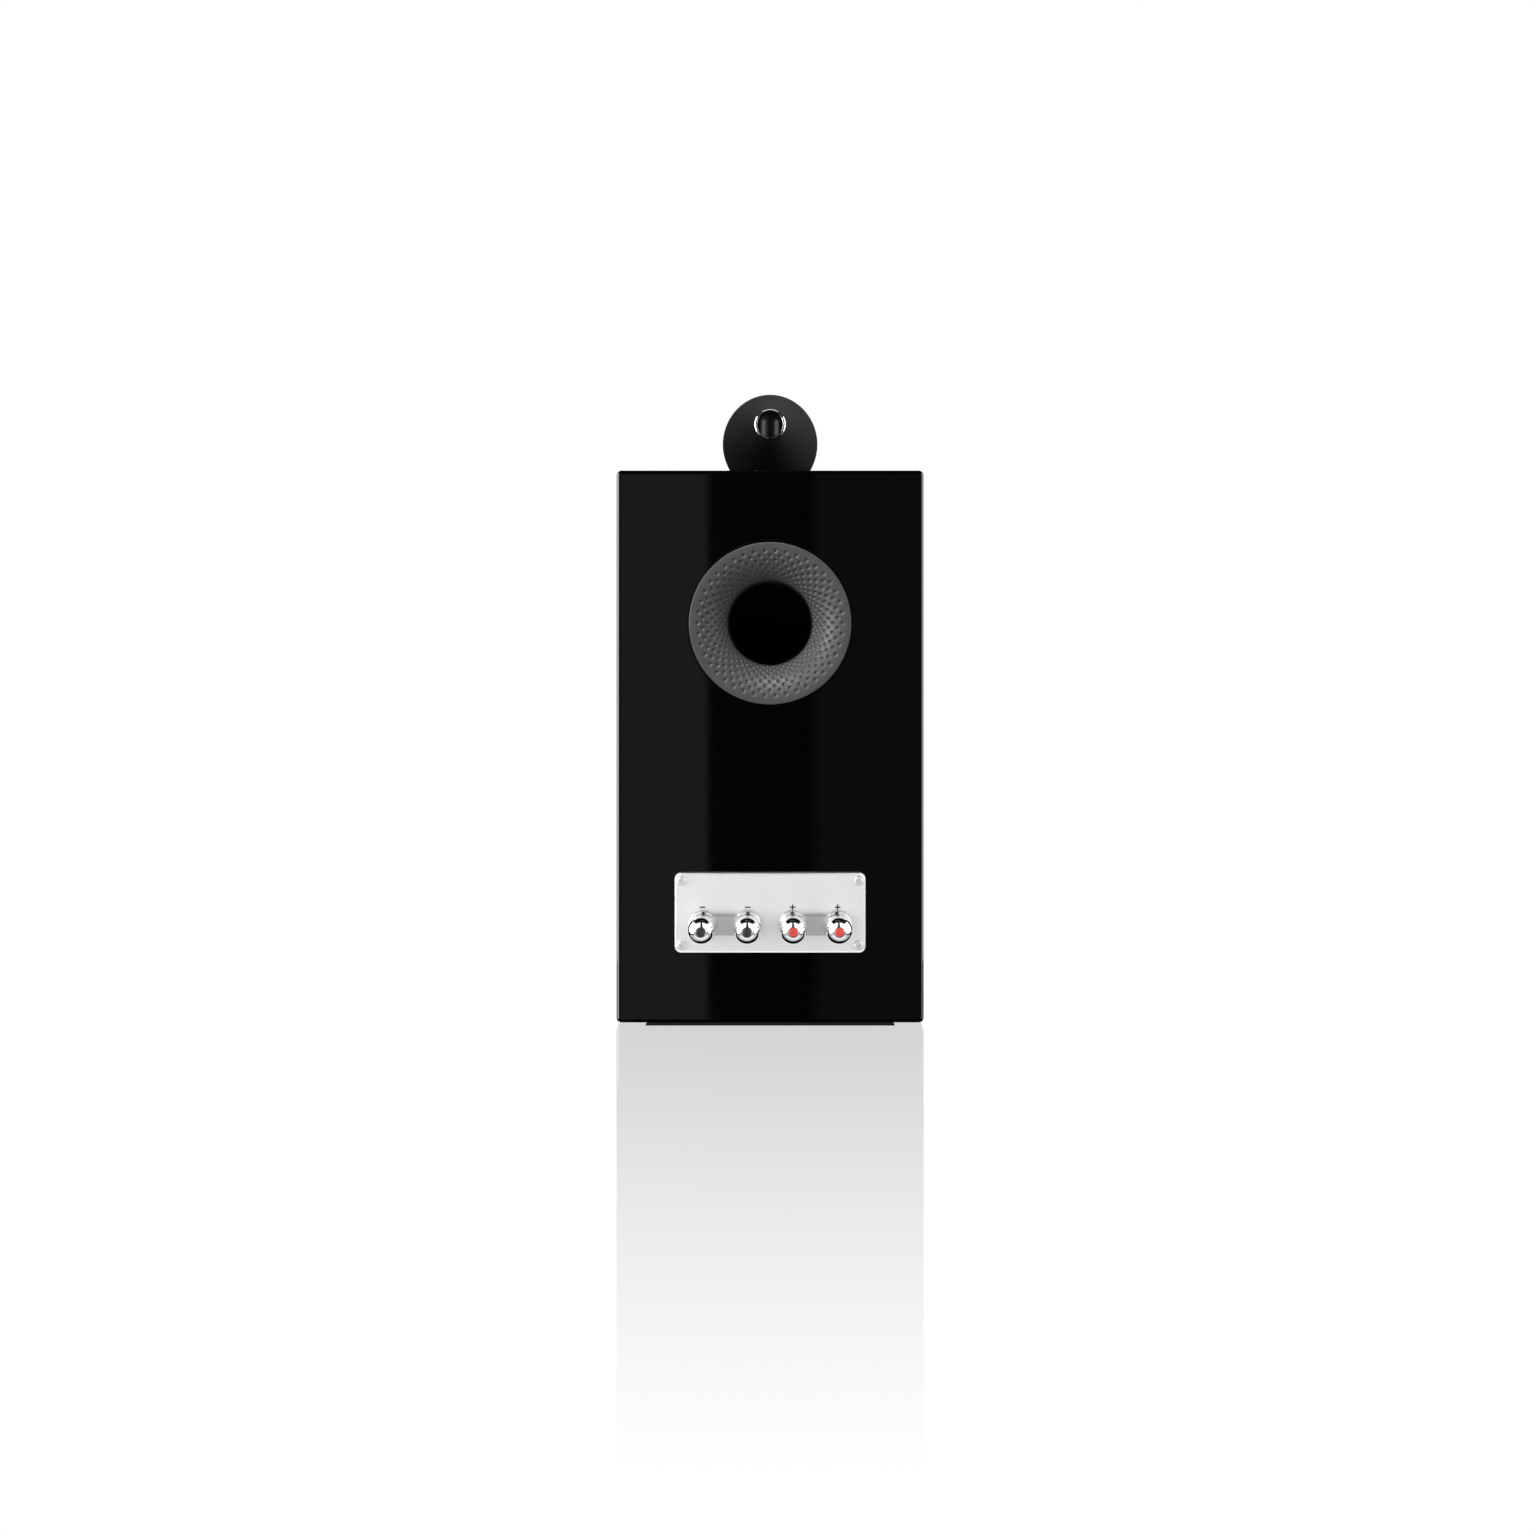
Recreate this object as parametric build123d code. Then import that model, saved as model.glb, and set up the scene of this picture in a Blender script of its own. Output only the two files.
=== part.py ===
from build123d import *

import math
import os

# A two-way bookshelf speaker, in millimetres. +Z is up, the drivers face -Y and the terminals face +Y.
# The origin is the centre of the base plate's underside.
# Left and right are those of someone facing the drivers.

os.makedirs("parts", exist_ok=True)

# ---------------------------------------------------------------- driving sizes
# Cabinet
cabinet_width = 192.0
cabinet_height = 345.0
cabinet_depth = 271.0
wall = 18.0
rear_thickness = 18.0
baffle_thickness = 25.0
edge_radius = 3.0
base_thickness = 4.0
base_proud = 1.3
brace_thickness = 15.0
brace_rim = 20.0
brace_offset = 92.5  # from the rear panel's inside to the brace

# Fits
running_clearance = 0.05
seat_clearance = 0.3

# Stand inserts and base plate screws
insert_spacing_x = 110.0
insert_spacing_y = 150.0
insert_bore_radius = 2.5
insert_radius = 4.5
insert_length = 13.0
base_screw_radius = 1.75
base_screw_head_radius = 3.5
base_screw_length = 14.0
base_screw_margin = 12.0

# Reflex port
port_height = 249.5  # above the cabinet's lower edge
port_throat_radius = 27.0
port_rim_radius = 49.5
port_flange_radius = 51.5
port_flange_thickness = 2.3
port_flange_proud = 0.8
port_body_radius = 46.0
port_wall = 3.0
port_spigot_length = 12.0
port_tube_length = 96.0
port_end_flare = 5.0

# Terminal plate
plate_width = 119.0
plate_height = 50.0
plate_thickness = 2.5
plate_corner_radius = 5.0
plate_chamfer = 1.0
plate_centre_height = 69.6  # above the cabinet's lower edge
plate_rim = 7.5
gasket_thickness = 0.8
plate_screw_spacing_x = 110.0
plate_screw_spacing_z = 40.0
plate_screw_radius = 1.5
plate_screw_head_radius = 2.85
plate_screw_head_height = 1.7
plate_screw_length = 16.0

# Binding posts
post_drop = 7.1  # below the plate's centre
post_inner_x = 14.0
post_outer_x = 42.0
stud_radius = 3.0
stud_outer_length = 22.8  # beyond the plate's face
stud_inner_length = 16.0  # behind the plate's face
socket_radius = 2.0
socket_depth = 14.5
wire_hole_radius = 1.5
washer_insulator_radius = 8.4
washer_insulator_thickness = 0.8
bush_radius = 5.0
bush_flange_radius = 7.5
bush_flange_thickness = 2.0
nut_across_flats = 10.0
nut_thickness = 4.0
collar_radius = 8.6
collar_thickness = 3.2
link_width = 12.0
link_thickness = 1.2
clamp_washer_radius = 7.0
clamp_washer_thickness = 1.5
knob_radius = 8.25
knob_length = 18.8
knob_tail_length = 16.0  # half-length of the egg's inner half
plug_head_radius = 2.75
plug_proud = 0.3
plug_stem_length = 12.0

# Mid-bass driver
woofer_height = 163.7  # above the cabinet's lower edge
woofer_flange_radius = 83.5
woofer_flange_thickness = 5.0
woofer_rebate_depth = 6.0
woofer_opening_radius = 72.0
trim_outer_radius = 85.0
trim_inner_radius = 70.0
trim_thickness = 3.5
cone_outer_radius = 61.0
cone_depth = 25.0
cone_thickness = 0.9
surround_inner_radius = 60.0
coil_inner_radius = 14.6
coil_former_thickness = 0.6
coil_winding_thickness = 0.9
coil_length = 36.0
basket_wall = 3.0
basket_depth = 46.0
basket_back_radius = 46.0
basket_window_count = 6
motor_radius = 45.0
top_plate_thickness = 6.0
magnet_thickness = 16.0
magnet_inner_radius = 24.0
yoke_thickness = 6.0
pole_radius = 14.2
motor_gap_radius = 16.8
phase_plug_radius = 12.5
phase_plug_length = 46.0
spider_corrugations = 8
woofer_screw_count = 6
woofer_screw_radius = 2.0
woofer_screw_length = 20.0
woofer_screw_circle_radius = 78.0

# Tweeter pod
pod_radius = 35.0
pod_gap = 1.5  # between the pod and the top panel
pod_tail_offset = 60.0  # from the rear face forward to the pod's tail
pod_widest_offset = 180.0  # from the rear face forward to the widest section
pod_front_setback = 4.5  # behind the baffle's face
pod_front_radius = 31.5
pod_tail_radius = 10.35
pod_tail_power = 1.66
pod_tail_root = 1.13
pod_bore_radius = 24.0
pod_bore_length = 61.0
pod_tail_bore_radius = 7.0
tail_ring_length = 3.0
tail_ring_width = 1.7
stem_radius = 9.0
stem_bore_radius = 4.0
stem_pocket_depth = 9.0
isolator_wall = 5.0
isolator_flange_radius = 18.0
isolator_flange_height = 4.0
isolator_washer_thickness = 3.0
pod_nut_across_flats = 26.0
pod_nut_thickness = 6.0

# Tweeter
faceplate_radius = 29.9
faceplate_thickness = 4.0
faceplate_recess = 4.0
tweeter_seat_depth = 14.0
dome_radius = 12.7
dome_sphere_radius = 16.0
dome_thickness = 0.4
dome_coil_depth = 7.0
tweeter_surround_radius = 15.4
tweeter_motor_radius = 23.5
tweeter_motor_length = 25.0
grille_radius = 29.6
grille_rise = 6.5
grille_thickness = 0.8

# Crossover and inside
board_width = 104.0
board_depth = 76.0
board_thickness = 1.6
board_standoff = 6.0
standoff_radius = 3.0
part_gap = 4.0
coil_height = 15.0
large_coil_radius = 19.0
small_coil_radius = 14.0
capacitor_count = 3
capacitor_radius = 8.5
capacitor_length = 34.0
resistor_width = 9.0
resistor_height = 8.0
lead_radius = 1.1
lead_bend_radius = 6.0
woofer_lead_x = 8.0
tweeter_lead_x = 2.0
pad_thickness = 12.0

# ---------------------------------------------------------------- derived places
front_y = -cabinet_depth / 2
rear_y = cabinet_depth / 2
inner_front_y = front_y + baffle_thickness
inner_rear_y = rear_y - rear_thickness
cabinet_bottom = base_proud
cabinet_top = base_proud + cabinet_height
floor_z = base_thickness + wall
ceiling_z = cabinet_top - wall
half_width = cabinet_width / 2
inner_half_width = half_width - wall

port_z = cabinet_bottom + port_height
plate_z = cabinet_bottom + plate_centre_height
post_z = plate_z - post_drop
woofer_z = cabinet_bottom + woofer_height
pod_z = cabinet_top + pod_gap + pod_radius


# ---------------------------------------------------------------- helpers
def block(x_range, y_range, z_range):
    """A box from its lowest and highest coordinates."""
    (x0, x1), (y0, y1), (z0, z1) = x_range, y_range, z_range
    centre = Pos((x0 + x1) / 2, (y0 + y1) / 2, (z0 + z1) / 2)
    return centre * Box(x1 - x0, y1 - y0, z1 - z0)


def rod_y(radius, y0, y1, x=0.0, z=0.0):
    """A cylinder along Y."""
    upright = Cylinder(radius, y1 - y0, align=(Align.CENTER, Align.CENTER, Align.MIN))
    return Pos(x, y0, z) * Rot(-90, 0, 0) * upright


def ring_y(outer, inner, y0, y1, x=0.0, z=0.0):
    """A tube along Y."""
    return rod_y(outer, y0, y1, x, z) - rod_y(inner, y0, y1, x, z)


def rod_z(radius, z0, z1, x=0.0, y=0.0):
    """A cylinder along Z."""
    upright = Cylinder(radius, z1 - z0, align=(Align.CENTER, Align.CENTER, Align.MIN))
    return Pos(x, y, z0) * upright


def ring_z(outer, inner, z0, z1, x=0.0, y=0.0):
    """A tube along Z."""
    return rod_z(outer, z0, z1, x, y) - rod_z(inner, z0, z1, x, y)


def turned(points, z=0.0):
    """A solid turned about Y from a closed outline of (radius, y) points."""
    outline = make_face(Polyline(*points, close=True))
    return Pos(0, 0, z) * revolve(outline, Axis.Y)


def turned_edges(edges, z=0.0):
    """A solid turned about Y from the edges of a closed (radius, y) outline."""
    return Pos(0, 0, z) * revolve(make_face(edges), Axis.Y)


def hexagon_y(across_flats, y0, y1, x=0.0, z=0.0):
    """A hexagonal prism along Y."""
    face = RegularPolygon(across_flats / 2, 6, major_radius=False)
    return Pos(x, y0, z) * Rot(-90, 0, 0) * extrude(face, y1 - y0)


def hexagon_z(across_flats, z0, z1, x=0.0, y=0.0):
    """A hexagonal prism along Z."""
    face = RegularPolygon(across_flats / 2, 6, major_radius=False)
    return Pos(x, y, z0) * extrude(face, z1 - z0)


def around(count, start=0.0):
    """Angles in degrees, evenly spaced round a circle."""
    return [start + 360.0 * i / count for i in range(count)]


def on_circle(radius, degrees, z=0.0):
    """The (x, z) place at an angle on a circle about the Y direction."""
    turn = math.radians(degrees)
    return radius * math.cos(turn), z + radius * math.sin(turn)


def save(node, *pieces):
    """Writes one sub-part, as one solid or as a group of separate solids."""
    shape = pieces[0] if len(pieces) == 1 else Compound(children=list(pieces))
    export_step(shape, f"parts/{node}.step")


# ---------------------------------------------------------------- cabinet
def rounded_board(y_inner, y_outer):
    """A full-size end board with rounded edges everywhere but round its inner face."""
    board = block((-half_width, half_width), sorted((y_inner, y_outer)), (cabinet_bottom, cabinet_top))
    inner_edges = board.faces().sort_by(Axis.Y)[0 if y_inner < y_outer else -1].edges()
    rounded = [edge for edge in board.edges() if edge not in inner_edges]
    return fillet(rounded, edge_radius)


def side_panel(side):
    """A side board, with side -1 on the left and 1 on the right."""
    x_range = sorted((side * inner_half_width, side * half_width))
    board = block(x_range, (inner_front_y, inner_rear_y), (cabinet_bottom, cabinet_top))
    long_edges = board.edges().filter_by(Axis.Y)
    outer = long_edges.sort_by(Axis.X)[2:] if side > 0 else long_edges.sort_by(Axis.X)[:2]
    return fillet(outer, edge_radius)


def inner_board(z0, z1):
    """A board between the four outer ones."""
    return block((-inner_half_width, inner_half_width), (inner_front_y, inner_rear_y), (z0, z1))


save("left_side_panel", side_panel(-1))
save("right_side_panel", side_panel(1))

stem_y = rear_y - pod_widest_offset
stem_hole_radius = stem_radius + isolator_wall
stem_hole = rod_z(stem_hole_radius, ceiling_z, cabinet_top, 0, stem_y)
save("top_panel", inner_board(ceiling_z, cabinet_top) - stem_hole)

insert_places = [
    (sx * insert_spacing_x / 2, sy * insert_spacing_y / 2) for sx in (-1, 1) for sy in (-1, 1)
]
base_half_width = inner_half_width - seat_clearance
base_front_y = inner_front_y + seat_clearance
base_rear_y = inner_rear_y - seat_clearance
screw_rows = (base_front_y + base_screw_margin, 0.0, base_rear_y - base_screw_margin)
base_screw_places = [
    (side * (base_half_width - base_screw_margin), y) for side in (-1, 1) for y in screw_rows
]

bottom_panel = inner_board(base_thickness, floor_z)
base_plate = block((-base_half_width, base_half_width), (base_front_y, base_rear_y), (0, base_thickness))
inserts = []
for x, y in insert_places:
    bottom_panel -= rod_z(insert_radius, base_thickness, base_thickness + insert_length, x, y)
    base_plate -= rod_z(insert_radius, 0, base_thickness, x, y)
    inserts.append(
        ring_z(insert_radius, insert_bore_radius, base_thickness, base_thickness + insert_length, x, y)
    )
base_screws = []
for x, y in base_screw_places:
    head = Pos(x, y, 0) * Cone(
        base_screw_head_radius,
        base_screw_radius,
        base_screw_head_radius - base_screw_radius,
        align=(Align.CENTER, Align.CENTER, Align.MIN),
    )
    shank = rod_z(base_screw_radius, 0, base_screw_length, x, y)
    base_plate -= head + shank
    bottom_panel -= shank
    drive = hexagon_z(base_screw_radius, 0, base_screw_radius / 2, x, y)
    base_screws.append(head + shank - drive)
save("bottom_panel", bottom_panel)
save("base_plate", base_plate)
save("base_plate_screws", *base_screws)
save("stand_inserts", *inserts)

brace_rear_y = inner_rear_y - brace_offset
brace = block(
    (-inner_half_width, inner_half_width),
    (brace_rear_y - brace_thickness, brace_rear_y), (floor_z, ceiling_z),
)
brace -= block(
    (-inner_half_width + brace_rim, inner_half_width - brace_rim),
    (brace_rear_y - brace_thickness, brace_rear_y),
    (floor_z + brace_rim, ceiling_z - brace_rim),
)
save("window_brace", brace)

# ---------------------------------------------------------------- reflex port
flare_face_y = rear_y + port_flange_proud
flare_radius = port_rim_radius - port_throat_radius
flare_centre_y = flare_face_y - flare_radius
flare_back_y = flare_centre_y - port_spigot_length
tube_end_y = flare_back_y - port_tube_length
outer_arc_radius = flare_radius - port_wall


def arc_point(radius, degrees):
    """A point on an arc about the flare's centre of curvature, from 0 at the throat to 90 at the mouth."""
    turn = math.radians(degrees)
    return (port_rim_radius - radius * math.cos(turn), flare_centre_y + radius * math.sin(turn))


body_turn = math.degrees(math.acos((port_rim_radius - port_body_radius) / outer_arc_radius))
body_corner = arc_point(outer_arc_radius, body_turn)
flange_back_y = flare_face_y - port_flange_thickness
throat_outer_radius = port_throat_radius + port_wall
flare = turned_edges(
    [
        ThreePointArc(arc_point(flare_radius, 0), arc_point(flare_radius, 45), arc_point(flare_radius, 90)),
        Polyline(
            arc_point(flare_radius, 90),
            (port_flange_radius, flare_face_y),
            (port_flange_radius, flange_back_y),
            (port_body_radius, flange_back_y),
            body_corner,
        ),
        ThreePointArc(
            body_corner, arc_point(outer_arc_radius, body_turn / 2), arc_point(outer_arc_radius, 0)
        ),
        Polyline(
            arc_point(outer_arc_radius, 0),
            (throat_outer_radius, flare_back_y),
            (port_throat_radius, flare_back_y),
            arc_point(flare_radius, 0),
        ),
    ],
    port_z,
)
save("port_flare", flare)

tube_lip_turn = math.sqrt(0.5) * port_end_flare
tube_lip_corner = (port_throat_radius, tube_end_y + port_end_flare)
tube_lip_outer = port_throat_radius + port_end_flare
tube = turned_edges(
    [
        Polyline(
            tube_lip_corner,
            (port_throat_radius, flare_back_y),
            (throat_outer_radius, flare_back_y),
            (throat_outer_radius, tube_end_y + port_end_flare),
            (tube_lip_outer + port_wall, tube_end_y + port_end_flare),
            (tube_lip_outer + port_wall, tube_end_y),
            (tube_lip_outer, tube_end_y),
        ),
        ThreePointArc(
            (tube_lip_outer, tube_end_y),
            (tube_lip_outer - tube_lip_turn, tube_end_y + port_end_flare - tube_lip_turn),
            tube_lip_corner,
        ),
    ],
    port_z,
)
save("port_tube", tube)

# ---------------------------------------------------------------- terminal plate
plate_back_y = rear_y + gasket_thickness
plate_face_y = plate_back_y + plate_thickness
cutout_width = plate_width - 2 * plate_rim
cutout_height = plate_height - 2 * plate_rim


def plate_slab(width, height, corner, y0, y1):
    """A rounded rectangle standing on the rear face, centred on the terminal plate."""
    outline = RectangleRounded(width, height, corner)
    return Pos(0, y0, plate_z) * Rot(-90, 0, 0) * extrude(outline, y1 - y0)


cutout_corner = plate_corner_radius
plate = plate_slab(plate_width, plate_height, plate_corner_radius, plate_back_y, plate_face_y)
plate = chamfer(plate.faces().sort_by(Axis.Y)[-1].edges(), plate_chamfer)
gasket = plate_slab(
    plate_width - 2 * plate_chamfer, plate_height - 2 * plate_chamfer,
    plate_corner_radius, rear_y, plate_back_y,
)
gasket -= plate_slab(cutout_width, cutout_height, cutout_corner, rear_y, plate_back_y)

rear_panel = rounded_board(inner_rear_y, rear_y)
rear_panel -= plate_slab(cutout_width, cutout_height, cutout_corner, inner_rear_y, rear_y)
rear_panel -= rod_y(port_body_radius + seat_clearance, inner_rear_y, rear_y, 0, port_z)
rear_panel -= rod_y(port_flange_radius + seat_clearance, flange_back_y, rear_y, 0, port_z)

plate_screws = []
for sx in (-1, 1):
    for sz in (-1, 1):
        x = sx * plate_screw_spacing_x / 2
        z = plate_z + sz * plate_screw_spacing_z / 2
        shank = rod_y(plate_screw_radius, plate_face_y - plate_screw_length, plate_face_y, x, z)
        head = rod_y(plate_screw_head_radius, plate_face_y, plate_face_y + plate_screw_head_height, x, z)
        head = fillet(head.faces().sort_by(Axis.Y)[-1].edges(), plate_screw_head_height / 3)
        socket_floor_y = plate_face_y + plate_screw_head_height / 3
        socket = hexagon_y(plate_screw_head_radius, socket_floor_y, socket_floor_y + plate_screw_length, x, z)
        plate_screws.append(shank + head - socket)
        plate -= rod_y(plate_screw_radius, plate_back_y, plate_face_y, x, z)
        gasket -= rod_y(plate_screw_radius, rear_y, plate_back_y, x, z)
        rear_panel -= rod_y(plate_screw_radius, plate_face_y - plate_screw_length, rear_y, x, z)
save("terminal_plate_screws", *plate_screws)

# ---------------------------------------------------------------- binding posts
post_names = {
    "negative_lf": post_outer_x,
    "negative_hf": post_inner_x,
    "positive_lf": -post_inner_x,
    "positive_hf": -post_outer_x,
}
stud_bore = stud_radius + running_clearance
collar_y = plate_face_y + washer_insulator_thickness
link_y = collar_y + collar_thickness
clamp_y = link_y + link_thickness
knob_y = clamp_y + clamp_washer_thickness + running_clearance
knob_end_y = knob_y + knob_length
stud_end_y = plate_face_y + stud_outer_length
stud_start_y = plate_face_y - stud_inner_length
bush_y = plate_back_y - bush_flange_thickness
nut_y = bush_y - nut_thickness
wire_hole_y = clamp_y + wire_hole_radius
knob_centre_y = knob_end_y - math.sqrt(knob_radius**2 - (stud_bore + plug_proud) ** 2)


def knob_side(y):
    """The egg-shaped knob's outer radius at a place along its length."""
    half_length = knob_radius if y > knob_centre_y else knob_tail_length
    return knob_radius * math.sqrt(1 - ((y - knob_centre_y) / half_length) ** 2)


def knob_at(x):
    steps = 12
    places = [knob_y + knob_length * i / steps for i in range(steps + 1)]
    outline = Spline(*[(knob_side(y), y) for y in places])
    bore = Polyline(
        (knob_side(knob_end_y), knob_end_y), (stud_bore, knob_end_y),
        (stud_bore, knob_y), (knob_side(knob_y), knob_y),
    )
    return Pos(x, 0, 0) * turned_edges([outline, bore], post_z)


studs, collars, insulators, nuts = [], [], [], []
for name, x in post_names.items():
    stud = rod_y(stud_radius, stud_start_y, stud_end_y, x, post_z)
    stud -= rod_y(socket_radius, stud_end_y - socket_depth, stud_end_y, x, post_z)
    stud -= rod_z(wire_hole_radius, post_z - stud_radius, post_z + stud_radius, x, wire_hole_y)
    studs.append(stud)
    collars.append(ring_y(collar_radius, stud_bore, collar_y, link_y, x, post_z))
    insulators.append(ring_y(washer_insulator_radius, stud_bore, plate_face_y, collar_y, x, post_z))
    bush = rod_y(bush_radius - running_clearance, bush_y, plate_face_y, x, post_z)
    bush += rod_y(bush_flange_radius, bush_y, plate_back_y, x, post_z)
    insulators.append(bush - rod_y(stud_bore, bush_y, plate_face_y, x, post_z))
    plate -= rod_y(bush_radius, plate_back_y, plate_face_y, x, post_z)
    nut = hexagon_y(nut_across_flats, nut_y, bush_y, x, post_z)
    nuts.append(nut - rod_y(stud_bore, nut_y, bush_y, x, post_z))
    save(f"knob_{name}", knob_at(x))
    clamp_end_y = clamp_y + clamp_washer_thickness
    save(f"clamp_washer_{name}", ring_y(clamp_washer_radius, stud_bore, clamp_y, clamp_end_y, x, post_z))
    plug = rod_y(plug_head_radius, stud_end_y, knob_end_y + plug_proud, x, post_z)
    stem_start_y = stud_end_y - plug_stem_length
    plug += rod_y(socket_radius - running_clearance, stem_start_y, stud_end_y, x, post_z)
    save(f"blanking_plug_{name}", plug)
save("binding_post_studs", *studs)
save("post_collars", *collars)
save("post_insulators", *insulators)
save("post_nuts", *nuts)
save("terminal_plate", plate)
save("terminal_gasket", gasket)
save("rear_panel", rear_panel)


def link_bar(side):
    """The flat bar that joins one pair of posts, with side 1 for the negative pair."""
    span = post_outer_x - post_inner_x
    middle_x = side * (post_outer_x + post_inner_x) / 2
    outline = SlotCenterToCenter(span, link_width)
    bar = Pos(middle_x, link_y, post_z) * Rot(-90, 0, 0) * extrude(outline, link_thickness)
    for x in (side * post_inner_x, side * post_outer_x):
        bar -= rod_y(stud_radius + seat_clearance, link_y, clamp_y, x, post_z)
    return bar


save("link_bar_negative", link_bar(1))
save("link_bar_positive", link_bar(-1))

# ---------------------------------------------------------------- mid-bass driver
rebate_y = front_y + woofer_rebate_depth
flange_y = rebate_y - gasket_thickness - woofer_flange_thickness
trim_front_y = flange_y - trim_thickness
cone_rim_y = flange_y + woofer_flange_thickness / 2
cone_neck_y = cone_rim_y + cone_depth
coil_outer_radius = coil_inner_radius + coil_former_thickness
basket_back_y = flange_y + basket_depth
top_plate_y = basket_back_y + basket_wall
magnet_y = top_plate_y + top_plate_thickness
yoke_y = magnet_y + magnet_thickness
spider_y = basket_back_y - basket_wall - 3 * cone_thickness
spider_radius = basket_back_radius - basket_wall

baffle = rounded_board(inner_front_y, front_y)
baffle -= rod_y(woofer_opening_radius, front_y, inner_front_y, 0, woofer_z)
baffle -= rod_y(woofer_flange_radius + seat_clearance, front_y, rebate_y, 0, woofer_z)

# The chassis is a flange, a tapering basket with windows, a spider ledge and a back ring.
flange_inner_radius = trim_inner_radius - seat_clearance
basket_start_radius = woofer_opening_radius - seat_clearance
basket = turned(
    [
        (flange_inner_radius, flange_y + woofer_flange_thickness / 2),
        (flange_inner_radius, flange_y),
        (woofer_flange_radius, flange_y),
        (woofer_flange_radius, flange_y + woofer_flange_thickness),
        (basket_start_radius, flange_y + woofer_flange_thickness),
        (basket_back_radius + basket_wall, basket_back_y),
        (basket_back_radius + basket_wall, top_plate_y),
        (motor_gap_radius + basket_wall, top_plate_y),
        (motor_gap_radius + basket_wall, basket_back_y),
        (basket_back_radius, basket_back_y),
        (basket_back_radius, basket_back_y - basket_wall),
    ],
    woofer_z,
)
window_y0 = inner_front_y
window_y1 = basket_back_y - 2 * basket_wall
for degrees in around(basket_window_count):
    window = block(
        (basket_back_radius / 2, woofer_flange_radius),
        (window_y0, window_y1),
        (-basket_back_radius / 3, basket_back_radius / 3),
    )
    basket -= Pos(0, 0, woofer_z) * Rot(0, degrees, 0) * window

woofer_gasket = ring_y(
    woofer_flange_radius, woofer_opening_radius, rebate_y - gasket_thickness, rebate_y, 0, woofer_z
)
woofer_screws = []
screw_turn = 180.0 / woofer_screw_count
for degrees in around(woofer_screw_count, screw_turn):
    x, z = on_circle(woofer_screw_circle_radius, degrees, woofer_z)
    screw_end_y = flange_y + woofer_screw_length
    shank = rod_y(woofer_screw_radius, flange_y, screw_end_y, x, z)
    head_depth = woofer_flange_thickness / 2
    head = rod_y(2 * woofer_screw_radius, flange_y, flange_y + head_depth, x, z)
    drive = hexagon_y(2 * woofer_screw_radius, flange_y, flange_y + head_depth / 2, x, z)
    woofer_screws.append(head + shank - drive)
    basket -= head + shank
    woofer_gasket -= shank
    baffle -= shank
save("woofer_chassis", basket)
save("woofer_gasket", woofer_gasket)
save("woofer_screws", *woofer_screws)
save("front_baffle", baffle)

trim_profile = [
    (trim_inner_radius, flange_y),
    (woofer_flange_radius, flange_y),
    (woofer_flange_radius, front_y),
    (trim_outer_radius, front_y),
    (trim_outer_radius, trim_front_y + trim_thickness / 2),
    (trim_outer_radius - trim_thickness / 2, trim_front_y),
    (trim_inner_radius + trim_thickness, trim_front_y),
]
save("woofer_trim_ring", turned(trim_profile, woofer_z))

neck_radius = coil_outer_radius
cone_mid = ((cone_outer_radius + neck_radius) / 2, (cone_rim_y + cone_neck_y) / 2 + cone_depth / 12)
cone_inside = [(r, y - cone_thickness) for r, y in ((cone_outer_radius, cone_rim_y), cone_mid)]
cone = turned_edges(
    [
        ThreePointArc((cone_outer_radius, cone_rim_y), cone_mid, (neck_radius, cone_neck_y)),
        Line((neck_radius, cone_neck_y), (neck_radius, cone_neck_y - cone_thickness)),
        ThreePointArc((neck_radius, cone_neck_y - cone_thickness), cone_inside[1], cone_inside[0]),
        Line(cone_inside[0], (cone_outer_radius, cone_rim_y)),
    ],
    woofer_z,
)
save("woofer_cone", cone)

# The surround is a half roll glued to the cone's rim and to the flange's inner lip.
roll_outer = (flange_inner_radius - surround_inner_radius) / 2
roll_centre = surround_inner_radius + roll_outer
roll_y = cone_rim_y - cone_thickness
roll_inner = roll_outer - cone_thickness
surround = turned_edges(
    [
        ThreePointArc(
            (roll_centre - roll_outer, roll_y),
            (roll_centre, roll_y - roll_outer), (roll_centre + roll_outer, roll_y),
        ),
        Line((roll_centre + roll_outer, roll_y), (roll_centre + roll_inner, roll_y)),
        ThreePointArc(
            (roll_centre + roll_inner, roll_y),
            (roll_centre, roll_y - roll_inner), (roll_centre - roll_inner, roll_y),
        ),
        Line((roll_centre - roll_inner, roll_y), (roll_centre - roll_outer, roll_y)),
    ],
    woofer_z,
)
save("woofer_surround", surround)

coil_start_y = cone_neck_y - cone_thickness
coil_end_y = coil_start_y + coil_length
former = ring_y(coil_outer_radius, coil_inner_radius, coil_start_y, coil_end_y, 0, woofer_z)
winding_y = top_plate_y + top_plate_thickness / 2
winding_half = top_plate_thickness
winding_radius = coil_outer_radius + coil_winding_thickness
winding = ring_y(
    winding_radius, coil_inner_radius, winding_y - winding_half,
    min(winding_y + winding_half, coil_end_y), 0, woofer_z,
)
save("woofer_voice_coil", former + winding)

# The spider is a corrugated disc: concentric flats that step up and down.
step = (spider_radius - coil_outer_radius) / spider_corrugations
upper, lower = [], []
for i in range(spider_corrugations + 1):
    radius = coil_outer_radius + running_clearance + (step - running_clearance / spider_corrugations) * i
    rise = cone_thickness if i % 2 else -cone_thickness
    upper.append((radius, spider_y + rise))
    lower.append((radius, spider_y + rise + cone_thickness))
save("woofer_spider", turned(upper + lower[::-1], woofer_z))

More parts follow.
